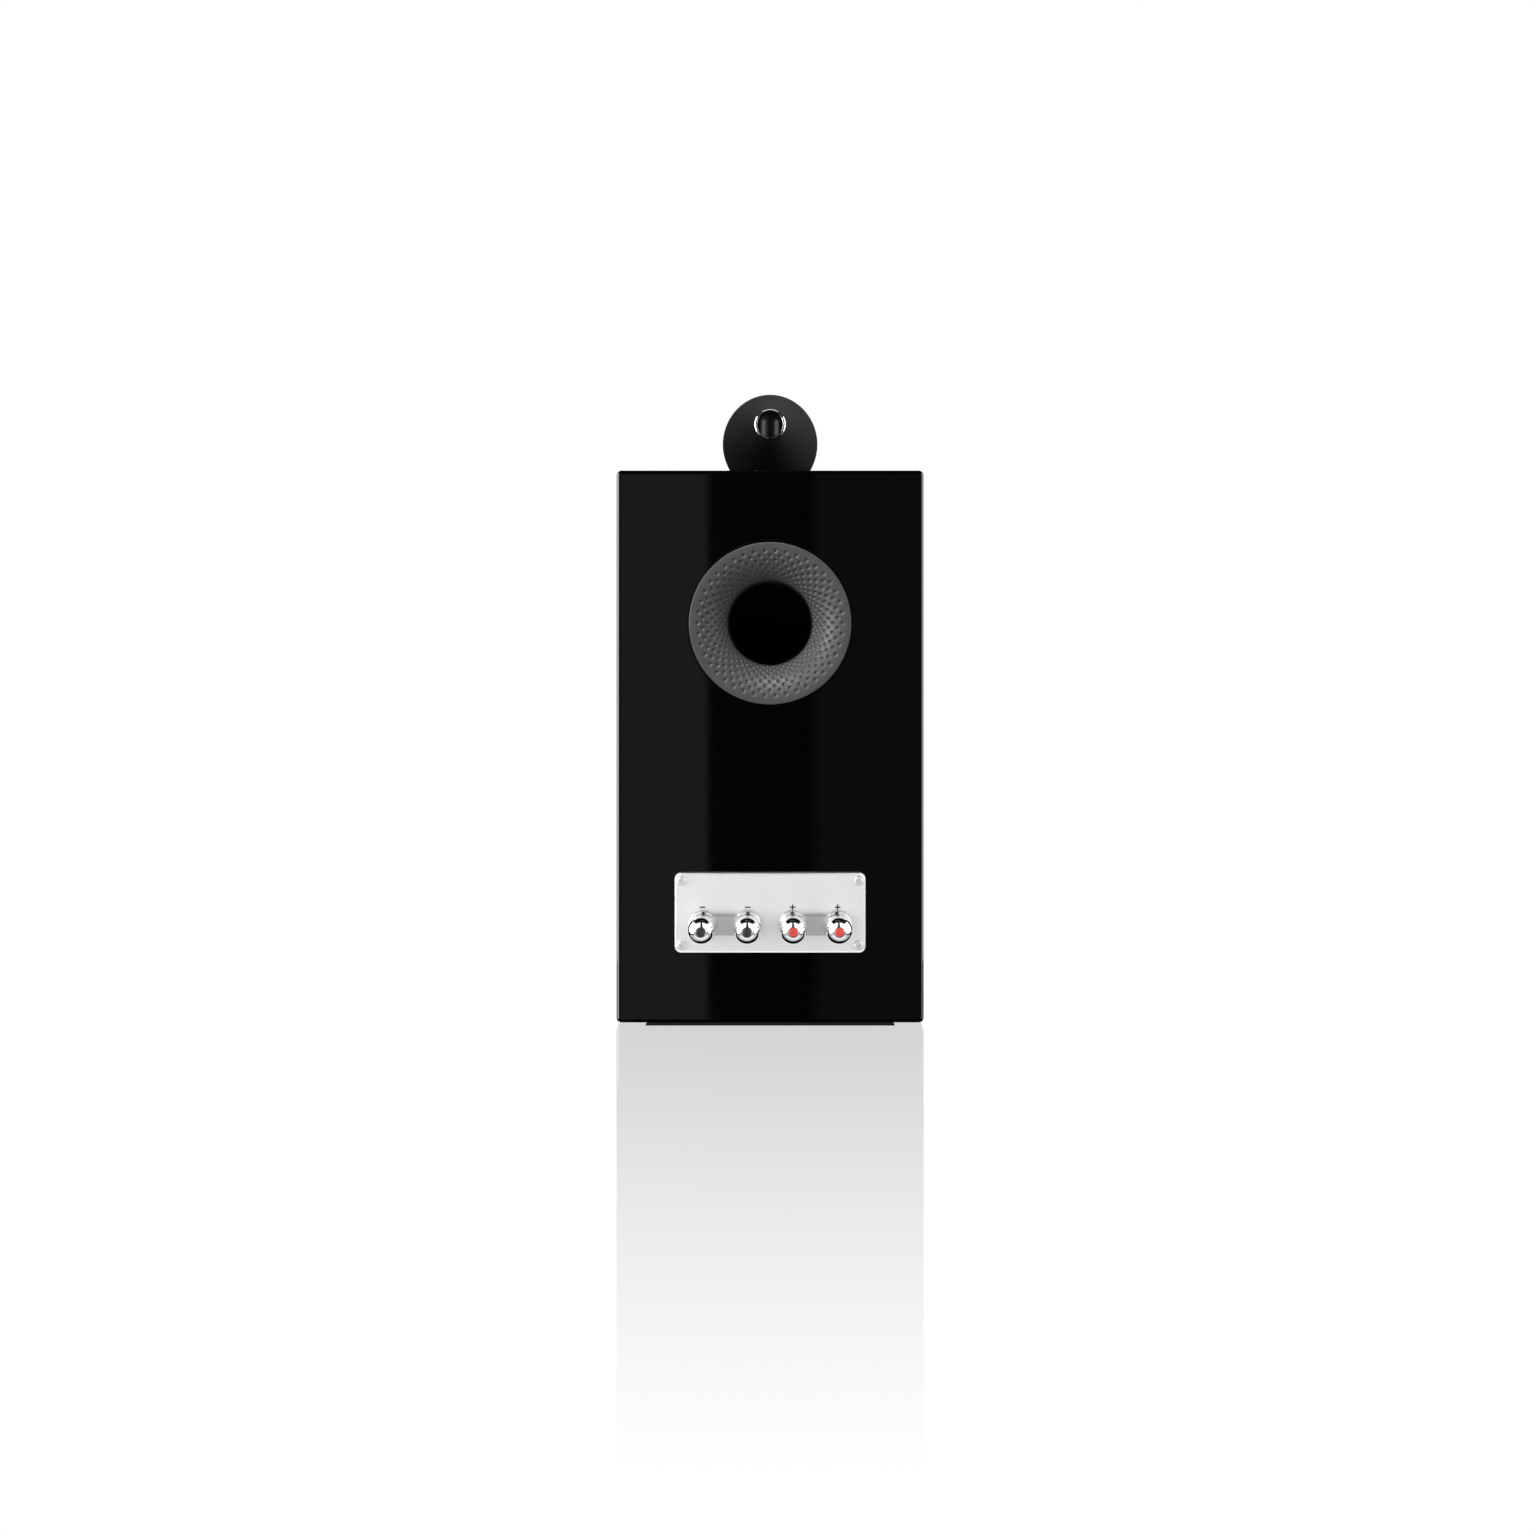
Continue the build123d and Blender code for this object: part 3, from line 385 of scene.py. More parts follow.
def slab(name, width, height, corner, middle, y0, y1, bevel):
    """A rounded rectangle standing in XZ, from y0 to y1, with its +Y edge bevelled."""
    deselect()
    bpy.ops.mesh.primitive_plane_add(size=1, location=(middle.x, y0, middle.z), rotation=upright)
    piece = bpy.context.active_object
    piece.scale = (width, height, 1)
    start(name)
    edit(piece)
    bpy.ops.mesh.select_all(action="SELECT")
    bpy.ops.mesh.bevel(offset=corner, offset_type="OFFSET", segments=10, affect="VERTICES")
    bpy.ops.mesh.select_all(action="SELECT")
    bpy.ops.mesh.extrude_region_move(TRANSFORM_OT_translate={"value": (0, y1 - y0, 0)})
    bpy.ops.mesh.select_all(action="SELECT")
    bpy.ops.mesh.normals_make_consistent(inside=False)
    if bevel:
        select_where(piece, "EDGE", lambda middle, way: abs(middle.y - y1) < hair)
        bpy.ops.mesh.bevel(offset=bevel, segments=2, affect="EDGES")
    leave_edit()
    return piece


def holes(radius, y0, y1, places):
    """Rods for cutting one through hole at each place."""
    spare = mm(1)
    return [rod_piece("hole", radius, y0 - spare, y1 + spare, at.x, at.z, 48) for at in places]


plate_size = Vector(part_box("terminal_plate")[1]) - Vector(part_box("terminal_plate")[0])
plate_corner, plate_bevel, post_hole_radius = mm(4.2), mm(1.1), mm(5)
terminal_plate = slab(
    "brushed_terminal_plate", plate_size.x, plate_size.z, plate_corner,
    plate, plate_back, plate_face, plate_bevel,
)
cut(terminal_plate, *holes(post_hole_radius, plate_back, plate_face, posts.values()))
keep(terminal_plate, "cabinet", "plate_aluminium", "terminal_plate", smooth=20)

# %% [markdown]
# ## Plate screws
# Button-head socket screws: a domed head with a six-sided hole for the key. The cylinder's top edge is
# rounded by a bevel, and a six-sided rod is cut out of its top.

# %% Plate screws
screw_low, screw_high = (Vector(corner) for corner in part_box("terminal_plate_screws"))
head_radius, head_round, shank_radius = mm(2.85), mm(0.8), mm(1.5)
key_radius, key_depth, key_spare = mm(1.2), mm(1.1), mm(1.9)
y1 = screw_high.y
screws = []
for x in (screw_low.x + head_radius, screw_high.x - head_radius):
    for z in (screw_low.z + head_radius, screw_high.z - head_radius):
        head = rod_piece("plate_screw", head_radius, plate_face, y1, x, z, 48)
        edit(head)
        select_where(head, "EDGE", lambda middle, way: abs(middle.y - y1) < hair)
        bpy.ops.mesh.bevel(offset=head_round, segments=4, affect="EDGES")
        leave_edit()
        cut(head, rod_piece("key", key_radius, y1 - key_depth, y1 + key_spare, x, z, 6))
        screws += [head, rod_piece("shank", shank_radius, screw_low.y, plate_face, x, z, 24)]
screw_set = join("terminal_plate_screw_set", screws)
keep(screw_set, "cabinet", "screw_steel", "terminal_plate_screws", smooth=30)

# %% [markdown]
# ## Binding posts
# Each post is a nickel-plated collar on an insulating washer, a flat link bar, a clamp washer, and an
# egg-shaped knob that was turned from brass, polished and chromed. A small plastic plug fills the socket in
# the knob's end. All are lathe work but the bars, and each post gets its own meshes.

# %% Knobs, washers, collars and plugs
knob_y0, knob_y1 = span("knob_negative_lf", "Y")
knob_radius, stud_bore, mouth_radius = mm(8.25), mm(3.05), mm(3.35)
tail_length = mm(16)
knob_centre_y = knob_y1 - math.sqrt(knob_radius**2 - mouth_radius**2)


def knob_side(y):
    half_length = knob_radius if y > knob_centre_y else tail_length
    return knob_radius * math.sqrt(1 - ((y - knob_centre_y) / half_length) ** 2)


knob_rows = 30
knob_outline = [(knob_side(y), y) for y in np.linspace(knob_y0, knob_y1 - mm(0.05), knob_rows)]
knob_outline += [(stud_bore + mm(0.1), knob_y1), (stud_bore, knob_y1 - mm(0.12)), (stud_bore, knob_y0)]
plug_stem_y, plug_end_y = span("blanking_plug_negative_lf", "Y")
plug_radius, plug_stem_radius, plug_stem_length, plug_round = mm(2.75), mm(1.95), mm(12), mm(0.5)
plug_head_y = plug_stem_y + plug_stem_length
plug_outline = [(0, plug_stem_y), (plug_stem_radius, plug_stem_y)]
plug_outline += [(plug_stem_radius, plug_head_y), (plug_radius, plug_head_y)]
plug_outline += arc((plug_radius - plug_round, plug_end_y - mm(0.6)), plug_round, 0, 90, 5)
plug_outline += [(mm(1.5), plug_end_y), (mm(1.25), plug_end_y - mm(0.35)), (0, plug_end_y - mm(0.45))]
washer_radius, collar_radius = mm(7), mm(8.6)
washer_outline = rounded_ring(washer_radius, stud_bore, *span("clamp_washer_negative_lf", "Y"), mm(0.35))
collar_outline = rounded_ring(collar_radius, stud_bore, *span("post_collars", "Y"), mm(0.7), 6)
plug_slots = {"negative": "black_plastic", "positive": "red_plastic"}
collars = []
for name, at in posts.items():
    knob = lathe(f"polished_knob_{name}", knob_outline, at.x, at.z, steps=96)
    keep(knob, f"knob_{name}", "knob_chrome", f"knob_{name}", smooth=40)
    washer = lathe(f"pressure_washer_{name}", washer_outline, at.x, at.z)
    keep(washer, f"clamp_washer_{name}", "knob_chrome", f"clamp_washer_{name}")
    plug = lathe(f"socket_plug_{name}", plug_outline, at.x, at.z, steps=48, closed=False)
    keep(plug, f"plug_{name}", plug_slots[name.split("_")[0]], f"blanking_plug_{name}")
    collars.append(lathe("collar", collar_outline, at.x, at.z, steps=96))
keep(join("post_collar_set", collars), "cabinet", "post_metal", "post_collars")

# %% Link bars
bar_bevel, bar_hole_radius = mm(0.2), mm(3.3)
for side in ("negative", "positive"):
    node = f"link_bar_{side}"
    middle = centre_of(node)
    (x0, x1), (y0, y1), (z0, z1) = (span(node, axis) for axis in "XYZ")
    width, height = x1 - x0, z1 - z0
    bar = slab(f"plated_{node}", width, height, height / 2 - hair, middle, y0, y1, bar_bevel)
    ends = [at for name, at in posts.items() if name.startswith(side)]
    cut(bar, *holes(bar_hole_radius, y0, y1, ends))
    keep(bar, "cabinet", "link_steel", node, smooth=25)

# %% [markdown]
# ## Polarity marks
# A plus or a minus is printed above each post in thin black ink. They are plain bars, a twentieth of a
# millimetre thick, sunk a little into the plate's face.

# %% Polarity marks
mark_length, mark_width, mark_above = mm(3.4), mm(0.85), mm(10.6)
ink, sunk = mm(0.03), mm(0.02)
marks = []
for name, at in posts.items():
    z = at.z + mark_above
    sizes = [(mark_length, mark_width)]
    if name.startswith("positive"):
        sizes.append((mark_width, mark_length))
    for width, height in sizes:
        low = (at.x - width / 2, plate_face - sunk, z - height / 2)
        marks.append(box_piece("mark", low, (at.x + width / 2, plate_face + ink, z + height / 2)))
keep(join("polarity_marks", marks), "cabinet", "black_plastic", smooth=0)

# %% [markdown]
# ## The tweeter pod
# The pod is turned from a solid bar so that it doesn't ring. From its widest section it tapers to the tail
# in one long swelling curve, and towards the front it closes in a little to the grille. The outline comes
# from the same curve as the model's, with more points, and the hollow is a plain bore.

# %% Pod body, tail ring and cap
pod_y0, pod_y1 = span("pod_body", "Y")
pod = centre_of("pod_tail_ring")
pod_radius, pod_front_radius, pod_tail_radius = mm(35), mm(31.5), mm(10.35)
pod_widest_y = stem.y
rim_bore, deep_bore, tail_bore = mm(29.95), mm(24), mm(7)
rim_depth, bore_depth, tail_wall = mm(14), mm(61), mm(10)
pocket_radius, pocket_depth = mm(9), mm(30)


def pod_side(y):
    if y <= pod_widest_y:
        share = (pod_widest_y - y) / (pod_widest_y - pod_y0)
        return pod_radius - (pod_radius - pod_front_radius) * share**2
    share = (y - pod_widest_y) / (pod_y1 - pod_widest_y)
    return pod_tail_radius + (pod_radius - pod_tail_radius) * (1 - share**1.66) ** (1 / 1.13)


front_rows, tail_rows = 14, 40
mouth = mm(0.6)
pod_outline = [(rim_bore, pod_y0 + mouth), (rim_bore + mouth / 2, pod_y0)]
pod_outline += [(pod_front_radius - mouth, pod_y0)]
pod_outline += [(pod_side(y), y) for y in np.linspace(pod_y0 + mouth, pod_widest_y, front_rows)]
pod_outline += [(pod_side(y), y) for y in np.linspace(pod_widest_y, pod_y1, tail_rows)[1:]]
pod_outline += [(0, pod_y1), (0, pod_y1 - tail_wall), (tail_bore, pod_y1 - tail_wall)]
pod_outline += [(deep_bore, pod_y0 + bore_depth), (deep_bore, pod_y0 + rim_depth)]
pod_outline += [(rim_bore, pod_y0 + rim_depth)]
pod_shell = lathe("turned_pod_body", pod_outline, pod.x, pod.z, steps=160)
pocket_z = span("pod_stem", "Z")[1] - pocket_depth / 2
cut(pod_shell, post_piece("pocket", pocket_radius, pocket_depth, stem.y, pocket_z))
keep(pod_shell, "cabinet", "pod_black", "pod_body", smooth=30)

ring_y0, ring_y1 = span("pod_tail_ring", "Y")
cap_y0, cap_y1 = span("pod_tail_cap", "Y")
ring_inner, shoulder = mm(8.65), mm(1.2)
ring_outline = [(ring_inner, ring_y0), (pod_tail_radius, ring_y0)]
ring_outline += arc((pod_tail_radius - shoulder, ring_y1 - shoulder), shoulder, 0, 90, 14)
ring_outline += [(ring_inner + mm(0.1), ring_y1), (ring_inner, ring_y1 - mm(0.1))]
tail_ring = lathe("chromed_tail_ring", ring_outline, pod.x, pod.z, 128)
keep(tail_ring, "cabinet", "tail_chrome", "pod_tail_ring")
cap_radius, cap_rise = ring_inner - mm(0.05), mm(0.85)
cap_sphere = (cap_radius**2 + cap_rise**2) / (2 * cap_rise)
cap_half_turn = math.degrees(math.asin(cap_radius / cap_sphere))
cap_outline = [(0, cap_y0), (cap_radius, cap_y0)]
cap_outline += arc((0, cap_y1 - cap_sphere), cap_sphere, 90 - cap_half_turn, 90, 16)
tail_cap = lathe("gloss_tail_cap", cap_outline, pod.x, pod.z, 96, closed=False)
keep(tail_cap, "cabinet", "tail_cap_black", "pod_tail_cap")

# %% [markdown]
# ## The tweeter's grille
# A dished steel mesh keeps fingers off the dome. A flat grid is cut to a disc, pressed into a shallow
# dish and turned into wires by the Wireframe modifier, and a rolled rim closes its edge.

# %% Tweeter grille
grille_y0, grille_y1 = span("tweeter_grille", "Y")
grille_radius, grille_rise = mm(29.6), mm(6.5)
dish = (grille_radius**2 + grille_rise**2) / (2 * grille_rise)
mesh_pitch, wire = mm(1.7), mm(0.5)
cells = int(2 * grille_radius / mesh_pitch) + 2
deselect()
bpy.ops.mesh.primitive_grid_add(
    x_subdivisions=cells, y_subdivisions=cells, size=cells * mesh_pitch,
    rotation=(math.pi / 2, math.pi / 4, 0),
)
grille = start("grille_mesh_dish")
edit(grille)
inside = grille_radius - mm(0.4)
select_where(grille, "FACE", lambda middle, way: math.hypot(middle.x, middle.z) > inside)
bpy.ops.mesh.delete(type="FACE")
leave_edit()
dish_y = grille_y0 + dish
for vertex in grille.data.vertices:
    reach = math.hypot(vertex.co.x, vertex.co.z)
    if reach > inside:
        vertex.co.x, vertex.co.z = vertex.co.x * inside / reach, vertex.co.z * inside / reach
        reach = inside
    vertex.co.y = dish_y - math.sqrt(dish**2 - reach**2) + wire / 2
    vertex.co.x += pod.x
    vertex.co.z += pod.z
apply(grille, "WIREFRAME", thickness=wire, use_even_offset=False)
rim_width, rim_round = mm(1.6), mm(0.3)
rim_y = grille_y0 + grille_rise - rim_round
rim_outline = rounded_ring(grille_radius, grille_radius - rim_width, rim_y, grille_y1, rim_round)
grille = join("grille_mesh_dish", [grille, lathe("rim", rim_outline, pod.x, pod.z)])
keep(grille, "cabinet", "grille_mesh", "tweeter_grille", smooth=50)

# %% [markdown]
# ## The bass driver
# From the front the driver is a satin trim ring, a rubber half roll, a woven cone that curves in to the
# neck, and a fixed bullet in the middle. The cone moves in and out, and the rubber has to follow it at
# its inner edge and stay put at its outer one. The roll is spun in twelve short sectors, each a copy of
# the first turned about the driver's axis. Neighbours meet at mirror-like edges, so no gap opens between
# them. The corrugated spider behind the cone, which holds the coil, is made in the same way.

# %% Bass driver
trim_y0, trim_y1 = span("woofer_trim_ring", "Y")
trim_outer, trim_inner, trim_seat, trim_round = mm(85), mm(70), mm(83.5), mm(1.75)
trim_outline = [(trim_inner, trim_y1), (trim_inner, trim_y0 + mm(3.2))]
trim_outline += [(trim_inner + mm(0.3), trim_y0 + mm(2.6)), (trim_inner + mm(3.5), trim_y0)]
trim_outline += arc((trim_outer - trim_round, trim_y0 + trim_round), trim_round, -90, 0, 8)
trim_outline += [(trim_outer, front_y), (trim_seat, front_y), (trim_seat, trim_y1)]
trim_ring = lathe("driver_trim_ring", trim_outline, woofer.x, woofer.z, 192)
keep(trim_ring, "cabinet", "trim_black", "woofer_trim_ring")

cone_y0, cone_y1 = span("woofer_cone", "Y")
cone_outer, cone_neck, cone_skin = mm(61), mm(15.2), mm(0.9)
cone_rim_y = cone_y0 + cone_skin
cone_rows, cone_bow = 28, 0.33


def cone_y(radius):
    """The woven cone's back face, which curves gently in from its rim to its neck."""
    share = (cone_outer - radius) / (cone_outer - cone_neck)
    return cone_rim_y + (cone_y1 - cone_rim_y) * (share + cone_bow * share * (1 - share))


radii = [cone_outer - (cone_outer - cone_neck) * i / cone_rows for i in range(cone_rows + 1)]
cone_outline = [(radius, cone_y(radius)) for radius in radii]
cone_outline += [(radius, cone_y(radius) - cone_skin) for radius in reversed(radii)]
cone = lathe("woven_cone", cone_outline, woofer.x, woofer.z, 160)
keep(cone, "woofer_cone", "woven_cone", "woofer_cone")

roll_inner, roll_outer = mm(60), mm(69.7)
roll_radius = (roll_outer - roll_inner) / 2
roll_y = cone_rim_y - cone_skin
rubber, roll_foot = mm(0.9), mm(1.2)
sectors, sector_steps = 12, 16
roll_middle = (roll_inner + roll_radius, roll_y)
roll_outline = [(roll_outer - rubber, roll_y + roll_foot), (roll_outer, roll_y + roll_foot)]
roll_outline += arc(roll_middle, roll_radius, 0, -180, 18)
roll_outline += arc(roll_middle, roll_radius - rubber, -180, 0, 18)


def bend(name, outline, slot, node):
    """A ring of short sectors, each a copy of the first turned about the driver's axis."""
    first = lathe("first_sector", outline, woofer.x, woofer.z, sector_steps, sweep=360 / sectors)
    pick(first)
    bpy.ops.object.shade_smooth_by_angle(angle=math.radians(50))
    axis = Vector((woofer.x, outline[0][1], woofer.z))
    for i in range(sectors):
        pick(first)
        bpy.ops.object.duplicate()
        turn = 2 * math.pi * i / sectors
        bpy.ops.transform.rotate(value=turn, orient_axis="Y", center_override=axis)
        sector = start(f"{name}_{i + 1:02d}")
        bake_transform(sector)
        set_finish(sector, slot)
        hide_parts(node)
        pieces[sector.name] = sector
    bpy.data.objects.remove(first)


bend("rubber_surround", roll_outline, "surround_rubber", "woofer_surround")

spider_y0, spider_y1 = span("woofer_spider", "Y")
spider_inner, spider_outer, spider_cloth, spider_hold = mm(15.25), mm(43), mm(0.9), mm(41)
waves, spider_rows = 8, 48
spider_swing = (spider_y1 - spider_y0 - spider_cloth) / 2
spider_front = []
for i in range(spider_rows + 1):
    share = i / spider_rows
    depth = spider_y0 + spider_swing * (1 - math.cos(math.pi * waves * share))
    spider_front.append((spider_inner + (spider_outer - spider_inner) * share, depth))
spider_outline = spider_front + [(at, y + spider_cloth) for at, y in reversed(spider_front)]
bend(
    "corrugated_spider", spider_outline, "black_plastic", "woofer_spider"
)

bullet_y0, bullet_y1 = span("woofer_phase_plug", "Y")
bullet_radius = mm(12.5)
bullet_outline = arc((0, bullet_y0 + bullet_radius), bullet_radius, -90, 0, 20)
bullet_outline += [(bullet_radius, bullet_y1), (0, bullet_y1)]
bullet = lathe("phase_bullet", bullet_outline, woofer.x, woofer.z, 96, closed=False)
keep(bullet, "cabinet", "chassis_aluminium", "woofer_phase_plug")

# %% [markdown]
# ## Mixing finishes
# A finish is a small tree of nodes that ends in one Principled shader. Two helpers keep the trees readable:
# one turns an sRGB hex colour to the linear values that Blender wants, and one adds a node, fills in its
# inputs and links it. Patterns read Object coordinates, so a size in millimetres stays true on every part.

# %% Paint box
def linear(colour):
    channels = [int(colour[i : i + 2], 16) / 255 for i in (1, 3, 5)]
    return (*[c / 12.92 if c <= 0.04045 else ((c + 0.055) / 1.055) ** 2.4 for c in channels], 1)


def add(tree, kind, inputs=(), **settings):
    """Adds a shader node. An input is a value, or another node's output that is linked to it."""
    node = tree.nodes.new("ShaderNode" + kind)
    for key, value in settings.items():
        setattr(node, key, value)
    for key, value in dict(inputs).items():
        if isinstance(value, bpy.types.NodeSocket):
            tree.links.new(value, node.inputs[key])
        else:
            node.inputs[key].default_value = value
    return node


def fresh_tree(owner):
    """Empties the node tree of a material or a world."""
    owner.use_nodes = True
    owner.node_tree.nodes.clear()
    return owner.node_tree


def new_finish(name, **sockets):
    """A material with one Principled shader, its tree, and where patterns start: the Object coordinates."""
    made = bpy.data.materials.new(name)
    tree = fresh_tree(made)
    values = {key.replace("_", " "): value for key, value in sockets.items()}
    shader = add(tree, "BsdfPrincipled", values)
    add(tree, "OutputMaterial", {"Surface": shader.outputs[0]})
    place = add(tree, "TexCoord").outputs["Object"]
    return made, tree, shader, place


def grained(name, low, high, grain, rough, relief, stretch=(1, 1, 1), detail=4.0, **sockets):
    """A finish with one noise of a real grain size, which varies its colour, its gloss and its height.
    low and high are colours, grain is in mm, rough is a range, and relief is the height in mm."""
    made, tree, shader, place = new_finish(name, **sockets)
    stretched = add(tree, "Mapping", {"Vector": place, "Scale": stretch}).outputs[0]
    grain_values = {"Vector": stretched, "Scale": 1 / mm(grain), "Detail": detail}
    height = add(tree, "TexNoise", grain_values).outputs["Fac"]
    gloss = add(
        tree, "MapRange",
        {"Value": height, "From Min": 0.3, "From Max": 0.7, "To Min": rough[0], "To Max": rough[1]},
    )
    bump = add(tree, "Bump", {"Height": height, "Distance": mm(relief), "Strength": 1.0})
    ends = {"Factor": height, 6: linear(low), 7: linear(high)}
    colour = add(tree, "Mix", ends, data_type="RGBA")
    tree.links.new(colour.outputs[2], shader.inputs["Base Color"])
    tree.links.new(gloss.outputs[0], shader.inputs["Roughness"])
    tree.links.new(bump.outputs[0], shader.inputs["Normal"])
    return made


finishes = {}

# %% [markdown]
# ## Lacquer, board and paint
# Black polyester lacquer is sprayed thick, sanded flat and buffed. Nearly all the light it sends back is
# reflection, so its own colour is close to nothing and the studio does the rest. Buffing leaves waves a few
# millimetres wide and a thousandth of a millimetre high, which only just bend a reflected edge. Under it,
# the raw fibreboard is dull and brown. The plate under the cabinet is satin paint.

# %% Lacquer, board and paint
# Black lacquer, sprayed and buffed: a dark mirror whose edges waver by a hair.
finishes["gloss_lacquer"] = grained(
    "black_polyester_lacquer", "#010101", "#020202", 4.0, (0.03, 0.045), 0.0003, detail=1.0, IOR=1.5
)
# Fibreboard, pressed and sawn: brown, dry and furry, with fibres half a millimetre long.
finishes["fibreboard"] = grained(
    "raw_fibreboard", "#4a3626", "#644b35", 0.5, (0.8, 0.95), 0.05, stretch=(1, 1, 0.4), detail=6.0
)
# Satin paint, rolled on: an even, low sheen.
finishes["base_black"] = grained("satin_black_paint", "#0a0a0b", "#131314", 0.6, (0.42, 0.55), 0.01)
# Powder coat, baked: a faint orange peel in a soft highlight.
finishes["trim_black"] = grained("black_powder_coat", "#0d0d0e", "#161617", 0.35, (0.38, 0.5), 0.015)
print(len(finishes), "finishes so far")

# %% [markdown]
# ## Moulded plastic and rubber
# The port is moulded ABS from a tool with a fine sparked grain, so it shines softly and scatters the studio
# lights over its dimples. The plugs are smoother. Rubber and foam hardly shine at all.

# %% Plastic and rubber
# ABS, moulded against a sparked tool: a broad highlight on every lip of a dimple.
finishes["port_black"] = grained(
    "satin_moulded_abs", "#373737", "#3f3f3f", 0.3, (0.42, 0.5), 0.006, IOR=1.5
)
# Polypropylene, moulded in a smooth tool: a tighter highlight and a waxy depth of colour.
plugs = [
    ("black_plastic", "black_polypropylene", "#171717", "#212121"),
    ("red_plastic", "red_polypropylene", "#ac342d", "#b83f36"),
]
for slot, name, low, high in plugs:
    finishes[slot] = grained(name, low, high, 0.5, (0.22, 0.32), 0.004, IOR=1.49)
# Butyl rubber, pressed: a wide grey bloom and no clear reflection.
finishes["surround_rubber"] = grained("butyl_rubber", "#141414", "#1e1e1e", 0.4, (0.5, 0.65), 0.02)
# Foam, die cut: pores half a millimetre wide, and quite dull.
finishes["gasket_foam"] = grained("closed_cell_foam", "#101010", "#1c1c1c", 0.6, (0.8, 0.95), 0.12)
# PVC, extruded over wire: dark red with a soft shine.
finishes["wire_insulation"] = grained("pvc_insulation", "#4a0c0a", "#641210", 0.8, (0.4, 0.5), 0.01)

# %% [markdown]
# ## Brushed and turned metal
# Brushing leaves long, thin scratches that all run one way. A noise stretched a hundred times along X
# draws them, a little coarser than real ones so that they show. The plate's cut edge is a second, bright
# finish on the bevelled faces only. The other plain metals differ in colour, gloss and the size of their
# tool marks.

# %% Metals
# Aluminium, brushed: light smears across the scratches and stays sharp along them.
finishes["plate_aluminium"] = grained(
    "brushed_aluminium", "#d6d6d7", "#e9e9ea", 0.22, (0.42, 0.52), 0.002,
    stretch=(0.012, 1, 1), Metallic=1.0,
)
# The same metal, cut with a diamond tool: a bright, clean line.
cut_edge = grained(
    "cut_bright_aluminium", "#f4f4f5", "#fbfbfc", 0.4, (0.26, 0.32), 0.001, Metallic=1.0
)
# Flat bar, drawn and nickel plated: greyer than the plate, with faint lines along it.
finishes["link_steel"] = grained(
    "nickel_plated_bar", "#b4b4b5", "#c0c0c1", 0.2, (0.2, 0.26), 0.002,
    stretch=(0.02, 1, 1), Metallic=1.0,
)
# Steel, zinc plated: pale and slightly cloudy.
finishes["screw_steel"] = grained(
    "bright_zinc", "#c8c8ca", "#d8d8da", 0.5, (0.4, 0.5), 0.004, Metallic=1.0
)
# Brass, turned and bright nickel plated: a warm mirror with fine rings.
finishes["post_metal"] = grained(
    "bright_nickel", "#c9c8c6", "#d6d5d3", 0.3, (0.07, 0.12), 0.001, stretch=(1, 6, 1), Metallic=1.0
)
# Steel, phosphated: dark, oily and slightly mottled.
finishes["black_steel"] = grained(
    "phosphated_steel", "#121213", "#222224", 0.4, (0.4, 0.55), 0.01, Metallic=0.6
)
# Brass, turned: yellow, with a soft sheen.
finishes["brass"] = grained(
    "turned_brass", "#b08d45", "#c8a55c", 0.3, (0.22, 0.34), 0.003, Metallic=1.0
)
# Aluminium, cast and blasted: grey, with a blurred highlight.
finishes["chassis_aluminium"] = grained(
    "satin_cast_aluminium", "#9a9a9c", "#b4b4b6", 0.5, (0.28, 0.38), 0.004, Metallic=1.0
)
# Copper wire, enamelled and wound: fine turns that catch the light one by one.
finishes["coil_copper"] = grained(
    "enamelled_copper", "#8c4a22", "#b8683a", 0.35, (0.2, 0.35), 0.03,
    stretch=(0.05, 1, 0.05), Metallic=0.9,
)
# Ferrite and steel, ground and pressed: charcoal grey and granular.
finishes["motor_steel"] = grained(
    "ferrite_and_steel", "#2a2a2b", "#3d3d3e", 0.8, (0.45, 0.6), 0.02, Metallic=0.5
)
# Alloy foil, drawn into a dome: smooth and cool grey.
finishes["dome_alloy"] = grained(
    "drawn_alloy_foil", "#77787c", "#8c8d92", 0.3, (0.25, 0.35), 0.002, Metallic=1.0
)
print(len(finishes), "finishes so far")

# %% [markdown]
# ## Chrome
# Chrome is a thin bright layer on polished brass. It has no grain that the eye can see, only faint
# polishing waves, so nearly everything in it is the studio. The ring at the pod's tail is the same
# plating.

# %% Chrome
# Chrome on polished brass: a full mirror.
finishes["knob_chrome"] = grained(
    "polished_chrome", "#dfe0e2", "#e8e9eb", 2.0, (0.03, 0.06), 0.0002, detail=1.0, Metallic=1.0
)
# The same plating on a turned ring, polished a little less.
finishes["tail_chrome"] = grained(
    "polished_chrome_ring", "#d8d9db", "#e2e3e5", 2.0, (0.06, 0.1), 0.0001, detail=1.0, Metallic=1.0
)

# %% [markdown]
# ## The pod's satin black
# The pod is painted and flatted to an even satin, softer than the cabinet's lacquer. Its cap is left
# glossy. Fine paint texture sits at a third of a millimetre. The mesh over the tweeter has the same
# paint.

# %% Pod finishes
# Lacquer, sprayed and flatted: no mirror at all, only a broad grey glow where light falls.
finishes["pod_black"] = grained(
    "satin_black_lacquer", "#222222", "#282828", 0.35, (0.5, 0.58), 0.003,
    IOR=1.45, Specular_IOR_Level=0.25,
)
# Acrylic, moulded: black, with small clear reflections.
finishes["tail_cap_black"] = grained(
    "gloss_black_acrylic", "#050505", "#080808", 1.5, (0.08, 0.14), 0.001, detail=1.0, IOR=1.49
)
# Steel wire, woven and painted: each wire gets a thin soft line of light.
finishes["grille_mesh"] = grained("painted_steel_mesh", "#0e0e0f", "#1a1a1b", 0.3, (0.4, 0.55), 0.01)

